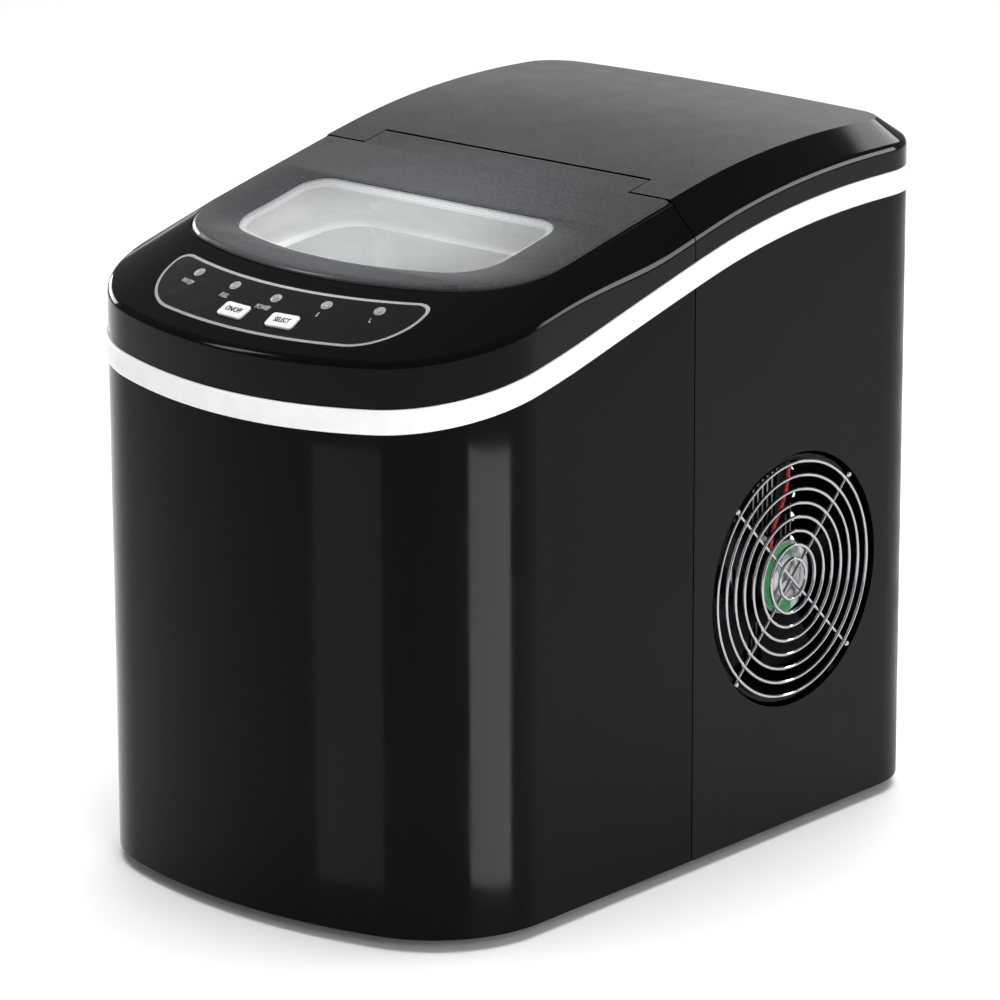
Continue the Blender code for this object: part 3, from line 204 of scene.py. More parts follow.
def over(height, lift=0.0):
    """A height that depends on y alone, plus a lift."""
    return lambda x, y: height(y) + lift


def soften(bm, edges, width, segments=3):
    """Rounds edges over."""
    bmesh.ops.bevel(bm, geom=[e for e in edges if e.is_valid], offset=width,
                    offset_type="OFFSET", segments=segments, profile=0.5,
                    affect="EDGES", clamp_overlap=True, material=-1)


def sharp(bm, angle=35):
    """Edges that fold by more than an angle."""
    return [e for e in bm.edges if len(e.link_faces) == 2
            and e.calc_face_angle(0) > radians(angle)]


def slice_off(bm, place, normal, clear=True):
    """Cuts a mesh by a plane and clears what lies behind it."""
    bmesh.ops.bisect_plane(bm, geom=bm.verts[:] + bm.edges[:] + bm.faces[:], dist=1e-7,
                           plane_co=place, plane_no=normal, clear_inner=clear)


def carry_out(obj, kind, **settings):
    """Applies one modifier to an object's mesh."""
    made = obj.modifiers.new(kind, kind)
    for key, value in settings.items():
        setattr(made, key, value)
    baked = bpy.data.meshes.new_from_object(
        obj.evaluated_get(bpy.context.evaluated_depsgraph_get()))
    obj.modifiers.clear()
    obj.data = baked


def piece(name, bm, finish, body, *nodes, wall=0.0, edge=0.0, segments=2, cuts=(),
          outward=True, angle=35):
    """Makes an object of a mesh, gives it its wall and edges, and sets it in the frame."""
    bmesh.ops.remove_doubles(bm, verts=bm.verts, dist=2e-6)
    if outward:
        bmesh.ops.recalc_face_normals(bm, faces=bm.faces)
    mesh = bpy.data.meshes.new(name)
    bm.to_mesh(mesh)
    bm.free()
    obj = bpy.data.objects.new(name, mesh)
    bpy.context.scene.collection.objects.link(obj)
    if wall:
        carry_out(obj, "SOLIDIFY", thickness=wall, offset=-1, use_even_offset=True)
    for cut in cuts:
        carry_out(obj, "BOOLEAN", object=cut, operation="DIFFERENCE", solver="EXACT")
    if edge:
        carry_out(obj, "BEVEL", width=edge, segments=segments, limit_method="ANGLE",
                  angle_limit=radians(angle), use_clamp_overlap=True)
    obj.data.shade_smooth()
    obj.data.set_sharp_from_angle(angle=radians(angle))
    if edge:
        carry_out(obj, "WEIGHTED_NORMAL", keep_sharp=True)
    obj.data.materials.clear()
    obj.data.materials.append(finish)
    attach(obj, body)
    if nodes:
        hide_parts(*nodes)
    return obj


def cutter(bm):
    """A hidden tool for one cut; it is removed afterwards."""
    bmesh.ops.remove_doubles(bm, verts=bm.verts, dist=2e-6)
    bmesh.ops.recalc_face_normals(bm, faces=bm.faces)
    mesh = bpy.data.meshes.new("cutter")
    bm.to_mesh(mesh)
    bm.free()
    tool = bpy.data.objects.new("cutter", mesh)
    bpy.context.scene.collection.objects.link(tool)
    tool.hide_render = True
    cutters.append(tool)
    return tool


cutters = []


def box(low, high, bevel=0.0):
    """A block between two corners."""
    bm = bmesh.new()
    low, high = Vector(low), Vector(high)
    bmesh.ops.create_cube(bm, size=1.0, matrix=Matrix.Translation((low + high) / 2)
                          @ Matrix.Diagonal((*(high - low), 1.0)))
    if bevel:
        soften(bm, bm.edges[:], bevel, 2)
    return bm


def facing(axis):
    """Turn that takes +Z to an axis."""
    return Vector((0, 0, 1)).rotation_difference(Vector(axis)).to_matrix().to_4x4()


def lathe(points, place, axis, steps=64, bm=None):
    """A turned solid from (radius, height) points along its axis."""
    bm = bm or bmesh.new()
    start = bm.verts.new((points[0][0], 0, points[0][1]))
    line = [start]
    for radius, height in points[1:]:
        grown = bmesh.ops.extrude_vert_indiv(bm, verts=[line[-1]])["verts"]
        grown[0].co = (radius, 0, height)
        line.append(grown[0])
    edges = list({e for v in line for e in v.link_edges})
    if points[0][0] > 1e-6 and points[-1][0] > 1e-6:
        edges.append(bm.edges.new((line[-1], start)))
    spun = bmesh.ops.spin(bm, geom=line + edges, cent=(0, 0, 0), axis=(0, 0, 1),
                          dvec=(0, 0, 0), angle=2 * pi, steps=steps, use_merge=True,
                          use_duplicate=False)
    turned = set(line)
    grow = list(line)
    while grow:
        for edge in grow.pop().link_edges:
            for vert in edge.verts:
                if vert not in turned:
                    turned.add(vert)
                    grow.append(vert)
    bmesh.ops.transform(bm, verts=list(turned), matrix=Matrix.Translation(place) @ facing(axis))
    return bm


def wire_ring(bm, radius, wire, place, axis, steps=96):
    """A ring of round wire."""
    points = [(radius + wire * cos(2 * pi * i / 10), wire * sin(2 * pi * i / 10))
              for i in range(10)]
    return lathe(points, place, axis, steps, bm)


def refined(name, node, finish, body, edge=0.5 * MM, segments=2, angle=30):
    """A CAD node's shape with its loose triangles merged and its edges rounded."""
    bm = bmesh.new()
    bm.from_mesh(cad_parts[node].data)
    bmesh.ops.remove_doubles(bm, verts=bm.verts, dist=2e-6)
    bmesh.ops.dissolve_limit(bm, angle_limit=radians(1.0), verts=bm.verts, edges=bm.edges)
    return piece(name, bm, finish, body, node, edge=edge, segments=segments,
                 outward=False, angle=angle)


# ---------------------------------------------------------------- finishes
def linear(code):
    """Linear colour from an sRGB hex code."""
    parts = [int(code[i:i + 2], 16) / 255 for i in (1, 3, 5)]
    return (*[c / 12.92 if c <= 0.04045 else ((c + 0.055) / 1.055) ** 2.4 for c in parts], 1.0)


def add(tree, kind, sockets=None, **settings):
    """Adds a node with its settings, values and links."""
    made = tree.nodes.new(kind)
    for key, value in settings.items():
        setattr(made, key, value)
    for key, value in (sockets or {}).items():
        if isinstance(value, bpy.types.NodeSocket):
            tree.links.new(value, made.inputs[key])
        else:
            made.inputs[key].default_value = value
    return made


def finish(name, colour, roughness, **sockets):
    """A Principled material and its node tree."""
    mat = bpy.data.materials.new(name)
    mat.use_nodes = True
    tree = mat.node_tree
    skin_shader = tree.nodes["Principled BSDF"]
    skin_shader.inputs["Base Color"].default_value = linear(colour)
    skin_shader.inputs["Roughness"].default_value = roughness
    for key, value in sockets.items():
        skin_shader.inputs[key.replace("_", " ")].default_value = value
    return mat, tree, skin_shader


def spread(tree, low, high, scale, detail=3.0, squash=(1, 1, 1), soft=(0.35, 0.65)):
    """A value or colour that drifts between two limits; scale is waves per metre."""
    where = add(tree, "ShaderNodeTexCoord")
    turned = add(tree, "ShaderNodeMapping", {"Vector": where.outputs["Object"], "Scale": squash})
    noise = add(tree, "ShaderNodeTexNoise", {"Vector": turned.outputs["Vector"],
                                             "Scale": scale, "Detail": detail})
    if isinstance(low, str):
        ramp = add(tree, "ShaderNodeValToRGB", {"Fac": noise.outputs["Fac"]})
        for stop, place, colour in zip(ramp.color_ramp.elements, soft, (low, high)):
            stop.position, stop.color = place, linear(colour)
        return ramp.outputs["Color"]
    return add(tree, "ShaderNodeMapRange", {"Value": noise.outputs["Fac"], "From Min": soft[0],
                                            "From Max": soft[1], "To Min": low,
                                            "To Max": high}).outputs["Result"]


def relief(tree, shader, depth, scale, detail=2.0, squash=(1, 1, 1)):
    """Fine relief; depth in metres, scale in waves per metre."""
    where = add(tree, "ShaderNodeTexCoord")
    turned = add(tree, "ShaderNodeMapping", {"Vector": where.outputs["Object"], "Scale": squash})
    noise = add(tree, "ShaderNodeTexNoise", {"Vector": turned.outputs["Vector"],
                                             "Scale": scale, "Detail": detail})
    bump = add(tree, "ShaderNodeBump", {"Height": noise.outputs["Fac"], "Strength": 1.0,
                                        "Distance": depth})
    tree.links.new(bump.outputs["Normal"], shader.inputs["Normal"])


def black_gloss_abs():
    """Moulded black ABS from a polished mould: deep black, sharp reflections,
    very slight waves in the skin, and a film of handling marks in the gloss."""
    mat, tree, shader = finish("black_gloss_abs", "#040405", 0.12, Specular_IOR_Level=0.06)
    tree.links.new(spread(tree, 0.10, 0.17, 38, 4), shader.inputs["Roughness"])
    relief(tree, shader, 0.000008, 120, 1)
    return mat


def black_piano_abs():
    """The same ABS on the upper mouldings, buffed to a piano finish: deep black
    with brighter, sharper reflections."""
    mat, tree, shader = finish("black_piano_abs", "#050506", 0.08, Specular_IOR_Level=0.11)
    tree.links.new(spread(tree, 0.06, 0.12, 45, 4), shader.inputs["Roughness"])
    relief(tree, shader, 0.000006, 90, 1)
    return mat


def black_satin_abs():
    """Moulded black ABS from a fine-blasted mould: soft wide highlights."""
    mat, tree, shader = finish("black_satin_abs", "#050506", 0.3, Specular_IOR_Level=0.075)
    tree.links.new(spread(tree, 0.26, 0.36, 45, 4), shader.inputs["Roughness"])
    relief(tree, shader, 0.00002, 1400, 2)
    return mat


def charcoal_abs():
    """Charcoal ABS with metal flake and a fine moulded grain: a grey sheen with
    sparkle. The flake is 0.1 mm in fact, drawn at 0.6 mm so that it shows."""
    mat, tree, shader = finish("charcoal_flake_abs", "#2a2b2d", 0.46, Specular_IOR_Level=0.22)
    where = add(tree, "ShaderNodeTexCoord")
    flake = add(tree, "ShaderNodeTexVoronoi", {"Vector": where.outputs["Object"], "Scale": 1600},
                feature="F1")
    ramp = add(tree, "ShaderNodeValToRGB", {"Fac": flake.outputs["Color"]})
    ramp.color_ramp.elements[0].position, ramp.color_ramp.elements[1].position = 0.15, 0.95
    ramp.color_ramp.elements[0].color = linear("#202123")
    ramp.color_ramp.elements[1].color = linear("#38393c")
    tree.links.new(ramp.outputs["Color"], shader.inputs["Base Color"])
    tree.links.new(spread(tree, 0.43, 0.47, 60, 3), shader.inputs["Roughness"])
    relief(tree, shader, 0.00004, 1500, 2)
    return mat


def painted_highlight_rim():
    """The lid's rounded rim: charcoal made lighter as a painted highlight, and given more shine."""
    mat, tree, shader = finish("charcoal_abs_painted_highlight", "#333436", 0.25, Specular_IOR_Level=0.4)
    tree.links.new(spread(tree, 0.21, 0.30, 80, 3), shader.inputs["Roughness"])
    return mat


def panel_film():
    """Printed polyester overlay: near-black, semi-gloss and flat."""
    mat, tree, shader = finish("panel_film", "#0c0c0d", 0.24, Specular_IOR_Level=0.3)
    tree.links.new(spread(tree, 0.22, 0.28, 90, 4), shader.inputs["Roughness"])
    relief(tree, shader, 0.00001, 2200, 1)
    return mat


def silver_ink():
    """Silver screen print: light grey with a faint grain."""
    mat, tree, shader = finish("silver_ink", "#8e8f90", 0.42, Metallic=0.25)
    tree.links.new(spread(tree, "#868788", "#989999", 900, 2), shader.inputs["Base Color"])
    return mat


def silver_white_band():
    """Painted silver-white ABS trim: bright satin, faintly metallic."""
    mat, tree, shader = finish("silver_white_band", "#f4f4f4", 0.32, Coat_Weight=0.3,
                               Coat_Roughness=0.15)
    tree.links.new(spread(tree, "#f2f2f2", "#f6f6f6", 120, 3), shader.inputs["Base Color"])
    relief(tree, shader, 0.000008, 900, 1)
    return mat


def clear_window():
    """Clear moulded styrene: thin, see-through, with a faint milky haze and a
    few wipe marks in its shine. The haze is a part cover, since the pane is thin."""
    mat, tree, shader = finish("clear_styrene", "#d9dcdd", 0.1, Alpha=0.12,
                               Specular_IOR_Level=0.25)
    tree.links.new(spread(tree, 0.06, 0.16, 70, 5), shader.inputs["Roughness"])
    return mat


def key_plastic():
    """Moulded light-grey keys: satin with a fine grain."""
    mat, tree, shader = finish("key_plastic", "#bcbdbe", 0.38)
    tree.links.new(spread(tree, "#b5b6b7", "#c4c5c5", 700, 2), shader.inputs["Base Color"])
    relief(tree, shader, 0.00001, 1800, 1)
    return mat


def lens_plastic():
    """Frosted lens over an unlit lamp: mid grey and milky."""
    mat, tree, shader = finish("lens_plastic", "#717273", 0.3, Subsurface_Weight=0.2,
                               Subsurface_Radius=(0.001, 0.001, 0.001))
    tree.links.new(spread(tree, "#5d5e5f", "#88898a", 900, 1), shader.inputs["Base Color"])
    return mat


def liner_white():
    """White vacuum-smooth liner: satin, very slightly uneven."""
    mat, tree, shader = finish("liner_white", "#f0f0ee", 0.3)
    tree.links.new(spread(tree, "#ebebe9", "#f6f6f5", 60, 3), shader.inputs["Base Color"])
    relief(tree, shader, 0.00001, 600, 1)
    return mat


def basket_plastic():
    """Milky grey basket plastic, part see-through, with frosty patches."""
    mat, tree, shader = finish("basket_plastic", "#9c9ea0", 0.34, Transmission_Weight=0.12,
                               IOR=1.49)
    tree.links.new(spread(tree, "#606264", "#868889", 26, 5), shader.inputs["Base Color"])
    relief(tree, shader, 0.00002, 300, 3)
    return mat


def foam():
    """White expanded foam with 3 mm beads."""
    mat, tree, shader = finish("bead_foam", "#ecebe6", 0.9)
    where = add(tree, "ShaderNodeTexCoord")
    beads = add(tree, "ShaderNodeTexVoronoi", {"Vector": where.outputs["Object"], "Scale": 330})
    bump = add(tree, "ShaderNodeBump", {"Height": beads.outputs["Distance"], "Strength": 0.6,
                                        "Distance": -0.0006})
    tree.links.new(bump.outputs["Normal"], shader.inputs["Normal"])
    return mat


def rubber():
    """Moulded black rubber: dull, dusty in its high spots."""
    mat, tree, shader = finish("black_rubber", "#161616", 0.75)
    tree.links.new(spread(tree, "#121212", "#232323", 180, 4), shader.inputs["Base Color"])
    relief(tree, shader, 0.00005, 1200, 3)
    return mat


def sheet_steel():
    """Rolled galvanised sheet: grey, streaked along the roll."""
    mat, tree, shader = finish("rolled_steel", "#a5a6a8", 0.35, Metallic=1.0)
    tree.links.new(spread(tree, 0.25, 0.45, 40, 5, (1, 14, 1)), shader.inputs["Roughness"])
    return mat


def chrome_wire():
    """Nickel-chrome plated wire: mirror bright with slight plating waves."""
    mat, tree, shader = finish("chrome_wire", "#a9a7ab", 0.10, Metallic=1.0)
    tree.links.new(spread(tree, 0.06, 0.16, 220, 3), shader.inputs["Roughness"])
    relief(tree, shader, 0.00001, 700, 1)
    return mat


def black_enamel():
    """Brushed-on black enamel over a pressed steel can: glossy, a bit uneven."""
    mat, tree, shader = finish("black_enamel", "#0c0c0d", 0.25, Coat_Weight=0.5,
                               Coat_Roughness=0.1)
    relief(tree, shader, 0.00006, 220, 3)
    return mat


def cast_aluminium():
    """Plain aluminium sheet: pale and satin."""
    mat, tree, shader = finish("satin_aluminium", "#c9cbce", 0.36, Metallic=1.0)
    tree.links.new(spread(tree, 0.28, 0.45, 160, 4, (1, 1, 8)), shader.inputs["Roughness"])
    return mat


def condenser_fins():
    """Stacked aluminium fins at 1.8 mm pitch, drawn as stripes, with painted shade for the gaps between
    them.
    """
    mat, tree, shader = finish("fin_stack", "#b5b7ba", 0.4, Metallic=1.0)
    where = add(tree, "ShaderNodeTexCoord")
    fins = add(tree, "ShaderNodeTexWave", {"Vector": where.outputs["Object"], "Scale": 88.0},
               bands_direction="Y")
    # The dark end of the ramp is painted shade in the gaps between the fins.
    ramp = add(tree, "ShaderNodeValToRGB", {"Fac": fins.outputs["Fac"]})
    ramp.color_ramp.elements[0].color = linear("#26282a")
    ramp.color_ramp.elements[1].color = linear("#c4c6c9")
    ramp.color_ramp.elements[0].position, ramp.color_ramp.elements[1].position = 0.35, 0.6
    tree.links.new(ramp.outputs["Color"], shader.inputs["Base Color"])
    bump = add(tree, "ShaderNodeBump", {"Height": fins.outputs["Fac"], "Distance": 0.0008})
    tree.links.new(bump.outputs["Normal"], shader.inputs["Normal"])
    return mat


def nickel():
    """Nickel plate: warm silver and bright."""
    mat, tree, shader = finish("nickel_plate", "#c9c4bb", 0.22, Metallic=1.0)
    tree.links.new(spread(tree, 0.16, 0.34, 120, 4), shader.inputs["Roughness"])
    return mat


def copper():
    """Drawn copper tube, lightly tarnished."""
    mat, tree, shader = finish("drawn_copper", "#c77b54", 0.3, Metallic=1.0)
    tree.links.new(spread(tree, "#a8623f", "#d68e66", 90, 4), shader.inputs["Base Color"])
    return mat


def circuit_board():
    """Glass-epoxy board with a green mask and copper tracks under it."""
    mat, tree, shader = finish("circuit_board", "#1c5a31", 0.4)
    where = add(tree, "ShaderNodeTexCoord")
    tracks = add(tree, "ShaderNodeTexBrick", {"Vector": where.outputs["Object"], "Scale": 90.0,
                                              "Mortar Size": 0.03,
                                              "Color1": linear("#17502b"),
                                              "Color2": linear("#1d6437"),
                                              "Mortar": linear("#5c8a4a")})
    tree.links.new(tracks.outputs["Color"], shader.inputs["Base Color"])
    return mat


def silicone():
    """Clear silicone hose: milky and soft-looking."""
    mat, tree, shader = finish("silicone_hose", "#d5dadb", 0.45, Transmission_Weight=0.5,
                               IOR=1.41)
    tree.links.new(spread(tree, 0.38, 0.52, 300, 2), shader.inputs["Roughness"])
    return mat


def green_label():
    """Printed paper label, mid green under a thin varnish."""
    mat, tree, shader = finish("green_paper_label", "#0c8a3c", 0.4)
    tree.links.new(spread(tree, "#0b7f37", "#129647", 400, 3), shader.inputs["Base Color"])
    return mat


def red_lead():
    """PVC-covered lead wire: smooth red with a soft shine."""
    mat, tree, shader = finish("red_pvc_lead", "#a81a1c", 0.35)
    tree.links.new(spread(tree, "#9c1517", "#b82325", 500, 2), shader.inputs["Base Color"])
    return mat


GLOSS = black_gloss_abs()
PIANO = black_piano_abs()
SATIN = black_satin_abs()
CHARCOAL = charcoal_abs()
EDGE = painted_highlight_rim()
FILM = panel_film()
INK = silver_ink()
BAND = silver_white_band()
CLEAR = clear_window()
KEY = key_plastic()
LENS = lens_plastic()
WHITE = liner_white()
BASKET = basket_plastic()
FOAM = foam()
RUBBER = rubber()
STEEL = sheet_steel()
CHROME = chrome_wire()
ENAMEL = black_enamel()
ALUMINIUM = cast_aluminium()
FINS = condenser_fins()
NICKEL = nickel()
COPPER = copper()
BOARD = circuit_board()
SILICONE = silicone()
GREEN = green_label()
RED = red_lead()


# ---------------------------------------------------------------- housing covers
def flat(bm, plan, low, high):
    """A flat plate with a plan outline."""
    edges = trace(bm, plan, lambda x, y: high)
    face = bmesh.ops.contextual_create(bm, geom=edges)["faces"]
    grown = bmesh.ops.extrude_face_region(bm, geom=face)["geom"]
    bmesh.ops.translate(bm, vec=(0, 0, low - high),
                        verts=[g for g in grown if isinstance(g, bmesh.types.BMVert)])
    return bm


def drape(obj, height, pitch=5 * MM):
    """Bends a finished flat plate over a side profile."""
    bm = bmesh.new()
    bm.from_mesh(obj.data)
    low = min(v.co.y for v in bm.verts)
    high = max(v.co.y for v in bm.verts)
    for i in range(1, int((high - low) / pitch)):
        slice_off(bm, (0, low + i * pitch, 0), (0, 1, 0), clear=False)
    for vert in bm.verts:
        vert.co.z += height(vert.co.y)
    bm.to_mesh(obj.data)
    bm.free()
    if "custom_normal" in obj.data.attributes:
        obj.data.attributes.remove(obj.data.attributes["custom_normal"])
    obj.data.shade_smooth()
    obj.data.set_sharp_from_angle(angle=radians(60))


def front_shell():
    """Bulged front of the body."""
    bm, _ = skin((BODY, lambda x, y: shell_low[2]), (BODY, over(band_z, -GAP / 2)))
    slice_off(bm, (0, -SEAM / 2, 0), (0, -1, 0))
    low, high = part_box("drain_plug")
    middle = (Vector(low) + Vector(high)) / 2
    hole = cutter(lathe([(0, 0), (8.3 * MM, 0), (8.3 * MM, 20 * MM), (0, 20 * MM)],
                        (-BODY.half - 10 * MM, middle.y, middle.z), (1, 0, 0), 48))
    piece("body_front", bm, GLOSS, "housing", "front_shell", wall=SKIN, edge=0.5 * MM,
          segments=3, cuts=[hole])


def rear_shell():
    """Straight rear of the body, with the fan opening and the louvres."""
    bm, _ = skin((BODY, lambda x, y: rear_low[2]), (BODY, over(band_z, -GAP / 2)))
    slice_off(bm, (0, SEAM / 2, 0), (0, 1, 0))
    holes = []

    def hole(place, axis, radius, steps=48):
        bm = lathe([(0, -12 * MM), (radius, -12 * MM), (radius, 12 * MM), (0, 12 * MM)],
                   place, axis, steps)
        holes.append(cutter(bm))
    hole((BODY.half, FAN[1], FAN[2]), (1, 0, 0), 60.5 * MM, 128)
    for node in [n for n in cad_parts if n.startswith("cover_screw_")]:
        low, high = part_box(node)
        hole((Vector(low) + Vector(high)) / 2, (0, 1, 0), 2.1 * MM, 24)
    low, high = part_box("cord_gland")
    hole((Vector(low) + Vector(high)) / 2, (0, 1, 0), 7.8 * MM)
    for i in range(9):
        z = (70 + 12 * i) * MM
        for centre, half in (((-BODY.half, FAN[1], z + 2.5 * MM), (10, 40, 2.5)),
                             ((0, BODY.rear, z + 22.5 * MM), (40, 10, 2.5))):
            half = Vector(half) * MM
            slot = box(Vector(centre) - half, Vector(centre) + half)
            soften(slot, [e for e in slot.edges
                          if abs((e.verts[0].co - e.verts[1].co).normalized()[
                              0 if half[0] == 10 * MM else 1]) > 0.9], 2.4 * MM, 5)
            holes.append(cutter(slot))
    piece("body_rear", bm, SATIN, "housing", "rear_shell", wall=SKIN, edge=0.4 * MM,
          segments=2, cuts=holes)


def trim_band():
    """Bright band round the body, with rounded edges."""
    proud = BODY.inset(-BAND_PROUD)
    bm, _ = skin((proud, over(band_z, GAP / 2)), (proud, over(band_z, BAND_HEIGHT - GAP / 2)))
    piece("silver_band", bm, BAND, "housing", "trim_band", wall=3.2 * MM, edge=1.2 * MM,
          segments=5)


def front_frame():
    """Fascia, sloped face and the ledge under the lid, in one moulding."""
    lip = LID.inset(-SEAM)
    bm, loops = skin((BODY, over(band_z, BAND_HEIGHT + GAP / 2)), (BODY, over(fascia_z)),
                     (lip, lambda x, y: lid_z(y) - step(y)),
                     (lip, over(lid_z, -LID_THICK - GAP)),
                     (MOUTH, over(lid_z, -LID_THICK - GAP)),
                     (MOUTH, over(lid_z, -LID_THICK - 8 * MM)))
    soften(bm, loops[1], 2.6 * MM, 6)
    soften(bm, loops[2], 0.5 * MM, 2)
    soften(bm, loops[4], 0.8 * MM, 2)
    slice_off(bm, (0, -SEAM / 2, 0), (0, -1, 0))
    piece("top_frame", bm, PIANO, "housing", "front_frame", wall=1.1 * MM, edge=0.3 * MM,
          segments=2)


def rear_cover():
    """Rear top cover, crowned, with a bay for the lid's tongue."""
    core = LID.rear - 60 * MM
    bm, loops = skin((BODY, over(band_z, BAND_HEIGHT + GAP / 2)), (BODY, over(fascia_z)),
                     (LID, cover_z))
    edges, left = loops[2], 1.0
    for share in (0.97, 0.92, 0.85, 0.72, 0.56, 0.38, 0.2, 0.0):
        grown = bmesh.ops.extrude_edge_only(bm, edges=edges)["geom"]
        edges = [g for g in grown if isinstance(g, bmesh.types.BMEdge)]
        for vert in (g for g in grown if isinstance(g, bmesh.types.BMVert)):
            x, y, _ = vert.co
            x *= share / left
            y = core + (y - core) * share / left if y > core else y
            vert.co = (x, y, cover_z(x, y))
        left = share
    bmesh.ops.remove_doubles(bm, verts=bm.verts, dist=1e-6)
    fascia = [e for e in loops[1] if e.is_valid]
    crease = [e for e in loops[2] if e.is_valid]
    soften(bm, fascia, 2.4 * MM, 6)
    soften(bm, crease, 1.6 * MM, 4)
    slice_off(bm, (0, SEAM / 2, 0), (0, 1, 0))
    bay = (TONGUE + SEAM, HINGE_Y + 2.9 * MM)
    for place, normal in (((bay[0], 0, 0), (1, 0, 0)), ((-bay[0], 0, 0), (1, 0, 0)),
                          ((0, bay[1], 0), (0, 1, 0))):
        slice_off(bm, place, normal, clear=False)
    gone = [f for f in bm.faces if abs(f.calc_center_median().x) < bay[0]
            and f.calc_center_median().y < bay[1] and f.calc_center_median().z > 0.3]
    bmesh.ops.delete(bm, geom=gone, context="FACES")
    piece("rear_cover", bm, PIANO, "housing", "rear_top_cover", wall=1.6 * MM,
          edge=0.4 * MM, segments=2)
    paint_top()
    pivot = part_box("hinge_pin_left")
    middle = (Vector(pivot[0]) + Vector(pivot[1])) / 2
    ears = bmesh.new()
    for side in (-1, 1):
        edges = sorted((side * (bay[0] + 0.2 * MM), side * (bay[0] + 10 * MM)))
        place = Matrix.Translation((sum(edges) / 2, middle.y, middle.z - 1.5 * MM))
        bmesh.ops.create_cube(ears, size=1.0, matrix=place @ Matrix.Diagonal(
            (edges[1] - edges[0], 10 * MM, 7 * MM, 1.0)))
    soften(ears, ears.edges[:], 1.0 * MM, 3)
    piece("hinge_ears", ears, CHARCOAL, "housing")


def paint_top():
    """The cover's top is textured charcoal inside the crease; its sides stay glossy."""
    cover = bpy.data.objects["rear_cover"]
    cover.data.materials.append(CHARCOAL)
    inner = LID.inset(0.3 * MM)
    for face in cover.data.polygons:
        x, y, _ = face.center
        inside = abs(x) < inner.half and y < inner.rear
        turn_x, turn_y = abs(x) - (inner.half - inner.back_corner), y - (inner.rear - inner.back_corner)
        if inside and turn_x > 0 and turn_y > 0:
            inside = turn_x ** 2 + turn_y ** 2 < inner.back_corner ** 2
        if inside and face.normal.z > 0.7:
            face.material_index = 1


